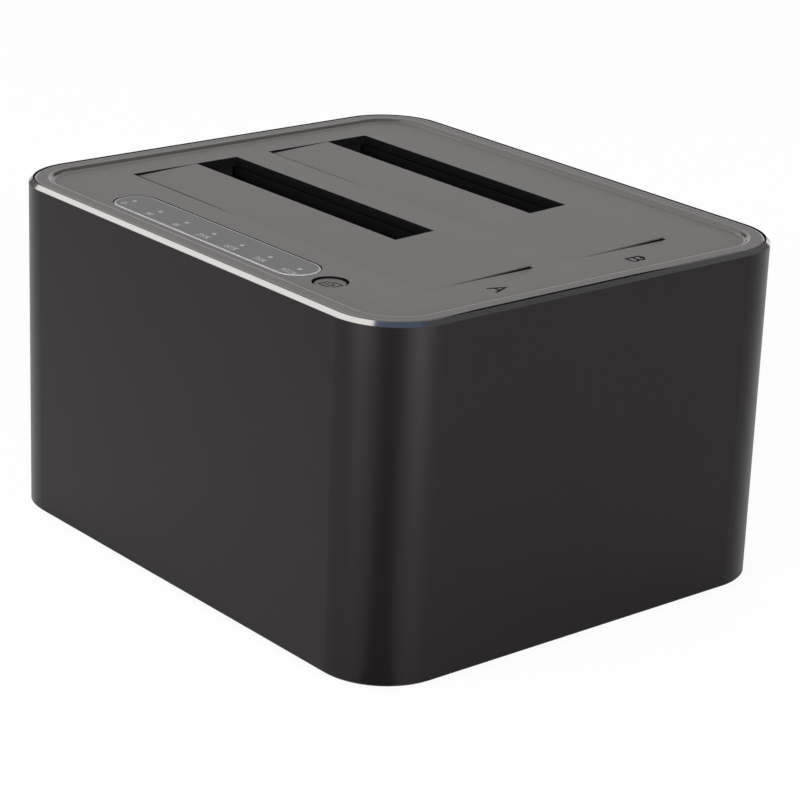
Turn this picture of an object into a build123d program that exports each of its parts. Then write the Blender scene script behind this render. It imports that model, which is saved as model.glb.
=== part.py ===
from build123d import *
import os
from math import asin, ceil, cos, degrees, pi, radians, sin, sqrt

# Docking station for two bare hard drives: an extruded aluminium sleeve, a moulded top with a
# sprung flap over each drive bay, two drive wells with upright sockets, a main board with the
# ports at the rear, and an indicator board with a status window and a button at the front.
# Four posts tie the top to the base, and each flap turns on a pin in its own hinge bar.
# The origin is on the table under the middle of the housing. +X is right as seen from the
# front, +Y is the rear and +Z is up. Lengths are in millimetres, angles in degrees.

# Clearances and shared values
overrun = 1.0
cover_gap = 0.2
skirt_gap = 0.2
seat_gap = 0.2
running_gap = 0.05

# Sleeve
sleeve_length = 135.8
sleeve_depth = 114.4
sleeve_height = 76.6
sleeve_corner_radius = 15.2
sleeve_wall = 2.0
sleeve_chamfer = 0.85
sleeve_foot_chamfer = 0.3
seat_lip = 0.9
seat_depth = 1.2

# Base plate and feet
base_recess = 0.2
base_thickness = 2.2
foot_radius = 5.0
foot_height = 2.4
foot_recess = 0.8
foot_edge_chamfer = 0.4
foot_from_side = 19.9
foot_from_end = 15.2
vent_length = 58.0
vent_width = 2.5
vent_pitch = 14.0
vent_count = 4

# Housing screws and the spacer posts between the base and the top
spacer_radius = 3.0
spacer_sides = 6
boss_sides = 12
screw_sides = 12
spacer_from_side = 9.9
spacer_socket_wall = 1.4
spacer_socket_depth = 5.0
housing_screw_radius = 1.5
housing_screw_length = 12.0
housing_screw_head_radius = 2.75
housing_screw_head_height = 1.6
housing_boss_radius = 4.0
housing_boss_height = 2.0
counterbore_depth = 1.8

# Top plate
rim_width = 3.6
rim_step = 0.8
rim_edge_chamfer = 0.3
rim_slope = 45.0
rim_soft_radius = 1.0
plate_thickness = 2.2
skirt_depth = 6.0
skirt_wall = 1.6

# Bays, which fill the top but for its margins. They come out 103.2 long and 28.93 deep, for
# large drives 101.6 wide and 26.1 thick. Each flap leaves a slot for small drives.
bay_from_left = 14.52
bay_from_right = 18.08
bay_from_front = 25.23
bay_from_rear = 22.21
bay_between = 9.1
bay_play = 1.6
small_drive_width = 69.85
small_drive_thickness = 9.5
slot_play_x = 2.55
slot_play_y = 1.9

# Flaps
flap_thickness = 1.6
flap_edge_radius = 0.25
flap_front_gap = 0.3
flap_rear_gap = 0.3
flap_left_gap = 0.35
flap_right_gap = 0.5
flap_sink = 0.5
flap_rise = 0.959
hinge_setback = 1.9
hinge_depth = 3.8
eye_radius = 1.7
arm_width = 5.0
arm_reach = 7.0
arm_root_drop = 0.4
arm_from_end = 9.0
stop_edge = 0.9
stop_gap = 0.05
stop_reach = 1.2
stop_root = 2.5
stop_thickness = 0.7
stop_width = 5.0
stop_from_edge = 2.5

# Hinge bars with their lugs, pins and torsion springs
hinge_bar_width = 2.6
hinge_bar_thickness = 1.2
lug_width = 2.5
lug_side_gap = 0.2
lug_edge_gap = 0.1
pin_radius = 0.75
pin_overhang = 1.0
spring_wire = 0.5
spring_wire_sides = 6
spring_bore_gap = 0.15
spring_pitch = 1.0
spring_turns = 3
spring_top_leg = 3.2
spring_flap_leg = 6.0
spring_lug_gap = 0.6
gap_points = 400

# Drive wells
well_wall = 1.6
well_side_room = 1.5
well_front_room = 0.6
well_top_gap = 0.3
well_front_drop = 6.5
well_floor = 2.0
well_board_gap = 3.6
well_corner_radius = 1.2
guide_width = 3.0
guide_end_gap = 3.0
guide_flap_room = 2.83
ear_reach = 7.0
ear_width = 9.0
well_boss_radius = 2.8
small_screw_radius = 1.0
small_screw_length = 5.5
small_screw_head_radius = 1.9
small_screw_head_height = 1.3

# Drive sockets
socket_from_drive_edge = 30.12
socket_from_drive_face = 3.5
drive_face_gap = 0.5
socket_length = 41.0
socket_width = 6.4
socket_rise = 6.0
socket_slot_width = 2.0
socket_slot_depth = 5.5
signal_slot_length = 10.6
power_slot_length = 20.9
slot_divider = 2.4
key_reach = 1.0
key_width = 1.2
horn_length = 2.4
horn_rise = 2.2
horn_chamfer = 1.0
socket_hole_gap = 0.4
contact_pitch = 1.27
contact_width = 0.6
contact_thickness = 0.3
contact_depth = 4.6
signal_contacts = 7
power_contacts = 15

# Main board
board_thickness = 1.6
board_standoff = 6.0
board_side_gap = 13.4
board_front_gap = 5.2
board_rear_gap = 2.7
board_corner_radius = 2.0
board_screw_inset = 6.5
standoff_radius = 3.0
chip_size = 12.0
chip_height = 1.4
chip_corner = 0.4
small_chip_length = 5.0
small_chip_width = 4.0
small_chip_height = 1.5
small_chip_pitch = 9.0
small_chip_count = 3
capacitor_radius = 3.15
capacitor_height = 7.7
capacitor_base = 6.8
capacitor_base_height = 1.2
capacitor_pitch = 8.6
inductor_size = 7.0
inductor_height = 3.0
crystal_length = 11.0
crystal_width = 4.6
crystal_height = 3.4
part_row_from_front = 14.5

# Rear ports
port_window_length = 58.0
port_window_margin = 1.4
port_window_radius = 2.0
bezel_thickness = 1.5
bezel_border = 3.0
bezel_gap = 0.15
port_face_inset = 1.2
port_gap = 0.15
port_from_window_end = 10.5
usb_width = 12.0
usb_height = 12.6
usb_length = 17.0
usb_mouth_width = 8.6
usb_mouth_height = 7.9
usb_mouth_chamfer = 1.7
usb_mouth_upper_width = 6.2
usb_mouth_upper_height = 2.6
usb_mouth_bottom = 1.0
usb_mouth_depth = 9.0
usb_tongue_width = 5.6
usb_tongue_height = 3.2
usb_tongue_inset = 1.0
usb_upper_tongue_height = 0.9
usb_upper_tongue_width = 5.0
jack_width = 9.0
jack_height = 11.0
jack_length = 14.4
jack_bore_radius = 3.2
jack_bore_depth = 10.0
jack_pin_radius = 1.0
jack_pin_inset = 1.2
switch_width = 14.4
switch_height = 10.6
switch_length = 13.0
rocker_radius = 6.2
rocker_width = 8.0
rocker_well_depth = 5.0
rocker_thickness = 3.6
rocker_pivot_depth = 2.2
rocker_gap = 0.2
rocker_pin_radius = 0.8
rocker_pin_reach = 0.7
rocker_tilt = 5.0

# Status window, light guide and indicator board
window_from_left = 28.9
window_from_button = 5.9
window_from_front = 13.0
window_radius = 5.3
window_gap = 0.2
window_thickness = 1.2
window_edge_chamfer = 0.2
window_ledge = 1.1
light_from_end = 4.23
light_count = 7
light_post_width = 2.4
light_bar_drop = 2.0
light_bar_gap = 0.2
light_post_gap = 0.2
indicator_drop = 7.5
indicator_thickness = 1.2
indicator_spacer_gap = 10.0
indicator_half_width = 7.6
indicator_boss_radius = 2.6
indicator_screw_inset = 3.5
led_length = 3.2
led_width = 1.6
led_height = 0.9

# Button over its tact switch
button_from_right = 33.2
button_radius = 3.5
button_hole_radius = 3.83
button_sink = 0.32
button_edge_chamfer = 0.25
button_flange_radius = 4.5
button_flange_thickness = 1.0
button_flange_gap = 0.1
button_stem_radius = 1.6
button_travel = 0.4
button_guard_gap = 0.3
button_guard_wall = 1.0
button_guard_depth = 2.6
tact_size = 6.0
tact_height = 3.4
tact_plunger_radius = 1.7
tact_plunger_rise = 0.9
tact_plunger_depth = 1.4
tact_edge = 0.5

# Flat cable between the boards
ribbon_width = 8.0
ribbon_thickness = 0.3
ribbon_side_gap = 0.25
ribbon_shift = 4.5
ribbon_straight = 9.0
ribbon_bend_radius = 24.0
ribbon_plug = 1.6
ribbon_socket_length = 11.0
ribbon_socket_width = 3.4
ribbon_socket_height = 3.0

# Heights
base_bottom_z = foot_height - foot_recess
sleeve_z0 = base_bottom_z - base_recess
sleeve_z1 = sleeve_z0 + sleeve_height
base_top_z = base_bottom_z + base_thickness
seat_z0 = sleeve_z0 + seat_depth
seat_z1 = sleeve_z1 - seat_depth
plate_top_z = sleeve_z1 - rim_step
plate_under_z = plate_top_z - plate_thickness
hinge_z = plate_top_z - flap_sink - hinge_depth
board_z0 = base_top_z + board_standoff
board_z1 = board_z0 + board_thickness
well_floor_z = board_z1 + well_board_gap + well_floor
socket_top_z = well_floor_z + socket_rise
indicator_z1 = plate_under_z - indicator_drop
indicator_z0 = indicator_z1 - indicator_thickness
spacer_z0 = base_top_z + housing_boss_height

# Places in plan
side_x = sleeve_length / 2
end_y = sleeve_depth / 2
cover_inset = seat_lip + cover_gap
body_inset = sleeve_wall + skirt_gap
bay_length = sleeve_length - bay_from_left - bay_from_right
bay_depth = (sleeve_depth - bay_from_front - bay_between - bay_from_rear) / 2
bay_pitch = bay_depth + bay_between
flap_tilt = degrees(asin(flap_rise / bay_depth))
slot_length = small_drive_width + slot_play_x
slot_depth = small_drive_thickness + slot_play_y
bay_x0 = bay_from_left - side_x
bay_x1 = bay_x0 + bay_length
bay_fronts = {"a": bay_from_front - end_y, "b": bay_from_front - end_y + bay_pitch}
spacer_x = side_x - spacer_from_side
spacer_y = end_y - spacer_from_side
foot_x = side_x - foot_from_side
foot_y = end_y - foot_from_end
button_x = side_x - button_from_right
window_x0 = window_from_left - side_x
window_x1 = button_x - window_from_button
window_centre_x = (window_x0 + window_x1) / 2
window_half_span = (window_x1 - window_x0) / 2 - window_radius
window_y = window_from_front - end_y
light_first_x = window_x0 + light_from_end
light_pitch = (window_x1 - window_x0 - 2 * light_from_end) / (light_count - 1)
indicator_half_length = spacer_x - indicator_spacer_gap
well_x0 = bay_x0 - well_side_room
well_x1 = bay_x1 + well_side_room
arm_xs = (bay_x0 + arm_from_end, bay_x1 - arm_from_end)
board_x = side_x - board_side_gap - sleeve_wall
board_y0 = sleeve_wall + board_front_gap - end_y
board_y1 = end_y - sleeve_wall - board_rear_gap
part_row_y = part_row_from_front - end_y
crystal_x0 = -chip_size - crystal_length * 3 / 4
ribbon_x = crystal_x0 - ribbon_side_gap - ribbon_socket_length / 2
port_face_y = end_y - port_face_inset
port_pitch = port_window_length / 2 - port_from_window_end
ports_x = {"usb": -port_pitch, "jack": 0, "switch": port_pitch}


def block(x0, x1, y0, y1, z0, z1):
    """A block between two opposite corners."""
    return Pos(x0, y0, z0) * Box(x1 - x0, y1 - y0, z1 - z0, align=(Align.MIN, Align.MIN, Align.MIN))


def post(x, y, radius, z0, z1):
    """An upright round bar between two heights."""
    return Pos(x, y, z0) * Cylinder(radius, z1 - z0, align=(Align.CENTER, Align.CENTER, Align.MIN))


def prism(x, y, radius, z0, z1, sides):
    """An upright bar with flat sides between two heights: the radius is to its corners."""
    return Pos(x, y, z0) * extrude(RegularPolygon(radius, sides), z1 - z0)


def cross_bar(x0, x1, y, z, radius):
    """A round bar along X."""
    bar = Cylinder(radius, x1 - x0, align=(Align.CENTER, Align.CENTER, Align.MIN))
    return Pos(x0, y, z) * Rot(0, 90, 0) * bar


def housing_slab(inset, z0, z1):
    """The housing's rounded outline, drawn in by an inset, between two heights."""
    outline = RectangleRounded(
        sleeve_length - 2 * inset, sleeve_depth - 2 * inset, sleeve_corner_radius - inset
    )
    return Pos(0, 0, z0) * extrude(outline, z1 - z0)


def obround(x, y, half_span, radius, z0, z1):
    """A slab with straight sides along X and half-round ends."""
    outline = SlotCenterToCenter(2 * half_span, 2 * radius)
    return Pos(x, y, z0) * extrude(outline, z1 - z0)


def screw(x, y, z, radius, length, head_radius, head_height, up):
    """A pan-head screw: its head seats at z, and its shank runs up or down from there."""
    if up:
        shank = prism(x, y, radius, z, z + length, screw_sides)
        return shank + prism(x, y, head_radius, z - head_height, z, screw_sides)
    shank = prism(x, y, radius, z - length, z, screw_sides)
    return shank + prism(x, y, head_radius, z, z + head_height, screw_sides)


def corners(x, y):
    """The four points at plus and minus x and y."""
    return [(-x, -y), (x, -y), (x, y), (-x, y)]


def make_sleeve():
    """The extruded sleeve, with a seat at each end and the window for the ports."""
    body = housing_slab(0, sleeve_z0, sleeve_z1)
    body = chamfer(body.edges().group_by(Axis.Z)[-1], sleeve_chamfer)
    body = chamfer(body.edges().group_by(Axis.Z)[0], sleeve_foot_chamfer)
    body -= housing_slab(sleeve_wall, sleeve_z0 - overrun, sleeve_z1 + overrun)
    body -= housing_slab(seat_lip, seat_z1, sleeve_z1 + overrun)
    body -= housing_slab(seat_lip, sleeve_z0 - overrun, seat_z0)
    return body - port_window(0, end_y - sleeve_wall - overrun, end_y + overrun)


def port_window(margin, y0, y1):
    """The rear window as a solid, drawn in by a margin."""
    z0 = board_z1 - port_window_margin + margin
    z1 = board_z1 + usb_height + port_window_margin - margin
    window = block(margin - port_window_length / 2, port_window_length / 2 - margin, y0, y1, z0, z1)
    return fillet(window.edges().filter_by(Axis.Y), port_window_radius - margin)


def make_base_plate():
    """The moulded base, with foot recesses, vents, board standoffs and screw bosses."""
    plate = housing_slab(cover_inset, base_bottom_z, seat_z0)
    plate += housing_slab(body_inset, seat_z0, base_top_z)
    for x, y in board_screw_places():
        plate += prism(x, y, standoff_radius, base_top_z, board_z0, boss_sides)
    for x, y in corners(spacer_x, spacer_y):
        plate += prism(x, y, housing_boss_radius, base_top_z, spacer_z0, boss_sides)
    for x, y in well_screw_places():
        plate += prism(x, y, well_boss_radius, base_top_z, well_floor_z - well_floor, boss_sides)
    hole_radius = small_screw_radius + running_gap
    for x, y in board_screw_places():
        plate -= prism(x, y, hole_radius, base_top_z, board_z0 + overrun, screw_sides)
    for x, y in well_screw_places():
        plate -= prism(x, y, hole_radius, base_top_z, well_floor_z, screw_sides)
    head_hole = housing_screw_head_radius + seat_gap
    for x, y in corners(spacer_x, spacer_y):
        plate -= prism(x, y, housing_screw_radius + seat_gap, sleeve_z0, spacer_z0 + overrun,
                       screw_sides)
        plate -= post(x, y, head_hole, sleeve_z0, base_bottom_z + counterbore_depth)
    for x, y in corners(foot_x, foot_y):
        plate -= post(x, y, foot_radius + running_gap, sleeve_z0, base_bottom_z + foot_recess)
    for column in range(vent_count):
        x = (column - (vent_count - 1) / 2) * vent_pitch
        slot = SlotOverall(vent_length, vent_width, rotation=90)
        plate -= Pos(x, 0, sleeve_z0) * extrude(slot, base_top_z - sleeve_z0 + overrun)
    return plate


def make_foot(x, y):
    """A round rubber foot in its recess."""
    foot = post(x, y, foot_radius, 0, foot_height)
    return chamfer(foot.edges().group_by(Axis.Z)[0], foot_edge_chamfer)


def make_spacer_posts():
    """The hexagonal posts from the base's bosses up into the sockets under the top."""
    posts = []
    for x, y in corners(spacer_x, spacer_y):
        spacer = prism(x, y, spacer_radius, spacer_z0, plate_under_z, spacer_sides)
        hole_z = spacer_z0 + housing_screw_length
        hole_radius = housing_screw_radius + running_gap
        posts.append(spacer - prism(x, y, hole_radius, spacer_z0 - overrun, hole_z, screw_sides))
    return posts


def make_housing_screws():
    """The screws up into the spacer posts, which clamp the sleeve between base and top."""
    seat = base_bottom_z + counterbore_depth
    return [
        screw(x, y, seat, housing_screw_radius, housing_screw_length,
              housing_screw_head_radius, housing_screw_head_height, True)
        for x, y in corners(spacer_x, spacer_y)
    ]


def make_top_plate():
    """The moulded top: rim, dished face, bay openings, post sockets, bosses and seats."""
    plate = housing_slab(cover_inset, seat_z1, sleeve_z1)
    plate = chamfer(plate.edges().group_by(Axis.Z)[-1], rim_edge_chamfer)
    plate -= dish()
    plate = fillet(rim_inner_edges(plate), rim_soft_radius)
    plate += housing_slab(body_inset, plate_under_z - skirt_depth, seat_z1)
    plate -= housing_slab(body_inset + skirt_wall, plate_under_z - skirt_depth - overrun, plate_under_z)
    socket_z = plate_under_z - spacer_socket_depth
    for x, y in corners(spacer_x, spacer_y):
        wall_radius = spacer_radius + spacer_socket_wall
        plate += prism(x, y, wall_radius, socket_z, plate_under_z, spacer_sides)
    for x, y in indicator_screw_places():
        plate += prism(x, y, indicator_boss_radius, indicator_z1, plate_under_z, boss_sides)
    guard_radius = button_flange_radius + button_guard_gap
    guard_z = plate_under_z - button_guard_depth
    plate += post(button_x, window_y, guard_radius + button_guard_wall, guard_z, plate_under_z)
    for front in bay_fronts.values():
        plate -= bay_cut(front)
    for x, y in corners(spacer_x, spacer_y):
        bore_radius = spacer_radius + running_gap
        plate -= prism(x, y, bore_radius, socket_z - overrun, plate_under_z, spacer_sides)
    for x, y in indicator_screw_places():
        bore_radius = small_screw_radius + running_gap
        plate -= prism(x, y, bore_radius, indicator_z1 - overrun, plate_under_z, screw_sides)
    plate -= post(button_x, window_y, guard_radius, guard_z - overrun, plate_under_z)
    plate -= post(button_x, window_y, button_hole_radius, plate_under_z - overrun, sleeve_z1)
    return plate - window_seat()


def dish():
    """The space over the sunken face, with the soft slope that leads down to it."""
    inset = cover_inset + rim_width + rim_step
    outline = RectangleRounded(
        sleeve_length - 2 * inset, sleeve_depth - 2 * inset, sleeve_corner_radius - inset
    )
    space = Pos(0, 0, plate_top_z) * extrude(outline, rim_step + overrun, taper=-rim_slope)
    return fillet(space.edges().group_by(Axis.Z)[0], rim_soft_radius)


def rim_inner_edges(plate):
    """The edges where the rim's face turns down to the dish."""
    reach_x = side_x - cover_inset - rim_width + running_gap
    reach_y = end_y - cover_inset - rim_width + running_gap
    return [
        edge for edge in plate.edges().group_by(Axis.Z)[-1]
        if abs(edge.center().X) < reach_x and abs(edge.center().Y) < reach_y
    ]


def window_seat():
    """The pocket that the status window lies in, and the hole under it for the light guide."""
    pocket_z = plate_top_z - window_thickness
    pocket = obround(window_centre_x, window_y, window_half_span, window_radius, pocket_z, sleeve_z1)
    hole_radius = window_radius - window_ledge
    hole_z = plate_under_z - overrun
    return pocket + obround(window_centre_x, window_y, window_half_span, hole_radius, hole_z, sleeve_z1)


def bay_cut(front):
    """The opening of one bay, with the shallow pockets over the flap's stop tabs."""
    cut = block(bay_x0, bay_x1, front, front + bay_depth, plate_under_z - overrun, sleeve_z1)
    reach = stop_reach + seat_gap
    for x, y0 in stop_places(front):
        y1 = y0 + stop_width + seat_gap
        cut += block(x - reach, x + reach, y0 - seat_gap, y1, plate_under_z - overrun, stop_z())
    return cut


def stop_z():
    """The underside of the thinned edge that the flap's tabs stop against."""
    return plate_top_z - stop_edge


def stop_places(front):
    """The bay's end faces and the front end of the tab that stops there."""
    left_y = front + bay_depth - slot_depth - stop_from_edge - stop_width
    right_y = front + bay_depth - flap_rear_gap - stop_from_edge - stop_width
    return [(bay_x0, left_y), (bay_x1, right_y)]


def lug_places():
    """The middle of each hinge lug along X: one each side of each arm."""
    offset = arm_width / 2 + lug_side_gap + lug_width / 2
    return [x + side * offset for x in arm_xs for side in (-1, 1)]


def make_hinge_bar(front):
    """The bar welded under a bay's front edge, with a lug each side of each arm, bored for
    the pin, and a notch that the spring's fixed leg lies in."""
    hinge_y = front - hinge_setback
    radius = hinge_setback - lug_edge_gap
    xs = lug_places()
    strip_y = hinge_y - radius
    bar_x0, bar_x1 = min(xs) - lug_width / 2, max(xs) + lug_width / 2
    bar = block(bar_x0, bar_x1, strip_y - hinge_bar_width, strip_y,
                plate_under_z - hinge_bar_thickness, plate_under_z)
    for x in xs:
        x0, x1 = x - lug_width / 2, x + lug_width / 2
        bar += block(x0, x1, strip_y, hinge_y + radius, hinge_z, plate_under_z)
        bar += cross_bar(x0, x1, hinge_y, hinge_z, radius)
    bar -= cross_bar(bar_x0 - overrun, bar_x1 + overrun, hinge_y, hinge_z, pin_radius + running_gap)
    room = spring_wire / 2 + seat_gap
    notch_x0 = spring_x0() - spring_top_leg * spring_rate() - room
    return bar - block(notch_x0, spring_x0() + room, hinge_y - spring_top_leg - seat_gap, strip_y,
                       hinge_z, plate_under_z)


def spring_x0():
    """Where the spring's first turn starts, beside the inner lug of the left arm."""
    return lug_places()[1] + lug_width / 2 + spring_lug_gap


def spring_radius():
    """The radius of the spring's turns at the middle of the wire."""
    return pin_radius + spring_bore_gap + spring_wire / 2


def spring_rate():
    """How far the wire moves along X for each millimetre round the pin."""
    return spring_pitch / (2 * spring_radius() * pi)


def make_hinge_pin(front):
    """The steel pin through one flap's arms and the lugs."""
    xs = lug_places()
    reach = lug_width / 2 + pin_overhang
    return cross_bar(min(xs) - reach, max(xs) + reach, front - hinge_setback, hinge_z, pin_radius)


def flap_plate():
    """The flap's face as it lies flat: the bay's outline less the slot for small drives.
    It is drawn about the hinge axis: Y runs back from the axis and Z up."""
    y0 = hinge_setback + flap_front_gap
    y1 = hinge_setback + bay_depth - flap_rear_gap
    slot_y = hinge_setback + bay_depth - slot_depth
    plate = block(bay_x0 + flap_left_gap, bay_x1 - flap_right_gap, y0, y1,
                  hinge_depth - flap_thickness, hinge_depth)
    plate -= block(bay_x0 - overrun, bay_x0 + slot_length, slot_y, y1 + overrun, 0,
                   hinge_depth + overrun)
    return fillet(plate.edges().group_by(Axis.Z)[-1], flap_edge_radius)


def flap_arm(x):
    """One arm: an eye on the axis and a web up to the underside of the flap."""
    under = hinge_depth - flap_thickness
    y0 = hinge_setback + flap_front_gap
    side = Polyline(
        (0, -eye_radius), (arm_reach - eye_radius, under - arm_root_drop), (arm_reach, under),
        (y0, under), (y0, under - arm_root_drop), (0, eye_radius), close=True
    )
    web = extrude(Plane.YZ * make_face(side), arm_width / 2, both=True)
    arm = Pos(x, 0, 0) * web + cross_bar(x - arm_width / 2, x + arm_width / 2, 0, 0, eye_radius)
    reach = arm_width / 2 + overrun
    return arm - cross_bar(x - reach, x + reach, 0, 0, pin_radius + running_gap)


def stop_tab(front, x, y0, inward):
    """A tab at the flap's end that comes up under the thinned edge of the top."""
    y0 -= front - hinge_setback
    y1 = y0 + stop_width
    top = (stop_z() - stop_gap - hinge_z - y1 * sin(radians(flap_tilt))) / cos(radians(flap_tilt))
    x0, x1 = sorted((x + inward * stop_root, x - inward * (stop_reach - flap_right_gap)))
    return block(x0, x1, y0, y1, top - stop_thickness, top)


def make_flap(front):
    """One flap, laid flat about the hinge and then set at its closed tilt."""
    flap = flap_plate()
    for x in arm_xs:
        flap += flap_arm(x)
    for (x, y0), inward in zip(stop_places(front), (1, -1)):
        flap += stop_tab(front, x, y0, inward)
    return Pos(0, front - hinge_setback, hinge_z) * Rot(flap_tilt, 0, 0) * flap


def helix_point(angle, radius, x0, rate):
    """A point of the spring's coil and its direction there: the angle falls along the wire."""
    turn = radians(angle)
    point = Vector(x0, radius * cos(turn), radius * sin(turn))
    heading = Vector(rate, sin(turn), -cos(turn)).normalized()
    return point, heading


def biarc(start, start_heading, end, end_heading):
    """Two arcs that join two points of the coil and keep its direction at both."""
    chord = end - start
    both = start_heading + end_heading
    bend = 2 - 2 * start_heading.dot(end_heading)
    along = chord.dot(both)
    reach = (sqrt(along ** 2 + bend * chord.dot(chord)) - along) / bend
    first, last = start + start_heading * reach, end - end_heading * reach
    middle = (first + last) / 2
    return [
        TangentArc(start, middle, tangent=start_heading),
        TangentArc(middle, end, tangent=last - first),
    ]


def leg_slope(room, leg):
    """The rise of a spring leg whose tip just clears a surface that far above the axis."""
    rise = room - running_gap - spring_radius() - spring_wire / 2
    return degrees(asin(rise / leg))


def make_flap_spring(front):
    """The torsion spring on the hinge pin: a leg against the top, the coil, a leg to the flap."""
    fixed_slope = leg_slope(plate_under_z - hinge_z, spring_top_leg)
    moving_slope = leg_slope(hinge_depth - flap_thickness, spring_flap_leg) + flap_tilt
    first_angle = 90 - fixed_slope
    total = 360 * spring_turns - fixed_slope - moving_slope
    steps = ceil(total / 180)
    places = []
    for step in range(steps + 1):
        angle = total * step / steps
        x = spring_x0() + spring_pitch * angle / 360
        places.append(helix_point(first_angle - angle, spring_radius(), x, spring_rate()))
    edges = []
    (first, first_heading), (last, last_heading) = places[0], places[-1]
    tip = first - first_heading * spring_top_leg
    edges.append(Line(tip, first))
    for (start, heading), (end, end_heading) in zip(places, places[1:]):
        edges += biarc(start, heading, end, end_heading)
    edges.append(Line(last, last + last_heading * spring_flap_leg))
    wire = RegularPolygon(spring_wire / 2, spring_wire_sides)
    section = Plane(origin=tip, z_dir=first_heading) * wire
    path = Wire(edges)
    print("spring least gap to itself", round(least_gap(path), 3))
    return Pos(0, front - hinge_setback, hinge_z) * sweep(section, path=path)


def least_gap(path):
    """The least gap between the spring's turns, measured on points along the wire: each point
    is set against those more than half a turn further on."""
    points = [path @ (index / gap_points) for index in range(gap_points + 1)]
    apart = ceil(gap_points * pi * spring_radius() / path.length)
    nearest = min(
        (points[later] - points[index]).length
        for index in range(len(points)) for later in range(index + apart, len(points))
    )
    return nearest - spring_wire


def ear_places(front):
    """The screws of one drive well: one beyond each end wall."""
    reach = well_wall + ear_reach / 2
    y = front + (bay_depth - well_front_room) / 2
    return [(well_x0 - reach, y), (well_x1 + reach, y)]


def well_screw_places():
    """The screws of both drive wells."""
    return [place for front in bay_fronts.values() for place in ear_places(front)]


def socket_centre(front):
    """The middle of a drive socket in plan, set by the drives' own outlines."""
    x = bay_x0 + bay_play / 2 + socket_from_drive_edge
    return x, front + bay_depth - drive_face_gap - socket_from_drive_face


def make_drive_well(front):
    """A moulded tray: four walls, a floor with the socket's slot, end guides and screw ears."""
    y0, y1 = front - well_front_room, front + bay_depth
    z1 = plate_under_z - well_top_gap
    well = block(well_x0 - well_wall, well_x1 + well_wall, y0 - well_wall, y1 + well_wall,
                 well_floor_z - well_floor, z1)
    well = fillet(well.edges().filter_by(Axis.Z), well_corner_radius)
    well -= block(well_x0, well_x1, y0, y1, well_floor_z, z1 + overrun)
    front_z = hinge_z - well_front_drop
    well -= block(well_x0, well_x1, y0 - well_wall - overrun, y0, front_z, z1 + overrun)
    for guide_y in guide_places(front):
        for x0, x1 in ((well_x0, bay_x0), (bay_x1, well_x1)):
            well += block(x0, x1, guide_y, guide_y + guide_width, well_floor_z, guide_top_z())
    for x, y in ear_places(front):
        well += ear(x, y)
    x, y = socket_centre(front)
    half_length = socket_length / 2 + socket_hole_gap
    half_width = socket_width / 2 + socket_hole_gap
    return well - block(x - half_length, x + half_length, y - half_width, y + half_width,
                        well_floor_z - well_floor - overrun, well_floor_z + overrun)


def guide_places(front):
    """The front edge of each upright guide at the ends of a well."""
    last = front + bay_depth - guide_end_gap - guide_width
    first = front + guide_flap_room + guide_end_gap
    return [first, (first + last) / 2, last]


def guide_top_z():
    """The guides end below the path of the flap's stop tabs."""
    return hinge_z - hinge_setback - bay_depth - guide_end_gap


def ear(x, y):
    """A screw ear that runs on from a well's floor and stands on a boss of the base."""
    inner = well_x0 if x < 0 else well_x1
    outer = x + ear_reach / 2 if x > 0 else x - ear_reach / 2
    x0, x1 = sorted((inner, outer))
    z0 = well_floor_z - well_floor
    lug = block(x0, x1, y - ear_width / 2, y + ear_width / 2, z0, well_floor_z)
    return lug - post(x, y, small_screw_radius + seat_gap, z0 - overrun, well_floor_z + overrun)


def make_well_screws():
    """The screws down through the wells' ears into the base's bosses."""
    return [
        screw(x, y, well_floor_z, small_screw_radius, small_screw_length,
              small_screw_head_radius, small_screw_head_height, False)
        for x, y in well_screw_places()
    ]


def socket_slots():
    """The X span of each of a socket's two slots, from its centre."""
    total = signal_slot_length + slot_divider + power_slot_length
    x0 = -total / 2
    x1 = x0 + signal_slot_length
    x2 = x1 + slot_divider
    return [(x0, x1), (x2, x2 + power_slot_length)]


def make_drive_socket(front):
    """An upright drive socket: two keyed slots between a pair of guide horns."""
    half, width = socket_length / 2, socket_width / 2
    body = block(-half, half, -width, width, board_z1, socket_top_z)
    for x0, x1 in ((-half, horn_length - half), (half - horn_length, half)):
        horn = block(x0, x1, -width, width, socket_top_z, socket_top_z + horn_rise)
        body += chamfer(horn.edges().group_by(Axis.Z)[-1].filter_by(Axis.X), horn_chamfer)
    slot_z = socket_top_z - socket_slot_depth
    slot_half = socket_slot_width / 2
    for x0, x1 in socket_slots():
        body -= block(x0, x1, -slot_half, slot_half, slot_z, socket_top_z + overrun)
        key_y = slot_half + key_reach
        body -= block(x0, x0 + key_width, 0, key_y, slot_z, socket_top_z + overrun)
    x, y = socket_centre(front)
    return Pos(x, y, 0) * body


def make_socket_contacts(front):
    """The spring contacts along the front wall of each slot."""
    x, y = socket_centre(front)
    z0 = socket_top_z - socket_slot_depth
    contacts = []
    for (x0, x1), count in zip(socket_slots(), (signal_contacts, power_contacts)):
        middle = (x0 + x1 + key_width) / 2
        for index in range(count):
            centre = x + middle + (index - (count - 1) / 2) * contact_pitch
            y0 = y - socket_slot_width / 2
            contacts.append(block(centre - contact_width / 2, centre + contact_width / 2,
                                  y0, y0 + contact_thickness, z0, z0 + contact_depth))
    return contacts


def board_screw_places():
    """The four screws of the main board."""
    x = board_x - board_screw_inset
    return [(s * x, y) for s in (-1, 1) for y in (board_y0 + board_screw_inset, board_screw_rear_y())]


def board_screw_rear_y():
    """The rear pair of board screws, clear of the port bodies."""
    return board_y1 - usb_length


def make_main_board():
    """The main circuit board on its standoffs."""
    board = block(-board_x, board_x, board_y0, board_y1, board_z0, board_z1)
    board = fillet(board.edges().filter_by(Axis.Z), board_corner_radius)
    for x, y in board_screw_places():
        board -= post(x, y, small_screw_radius + seat_gap, board_z0 - overrun, board_z1 + overrun)
    return board


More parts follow.
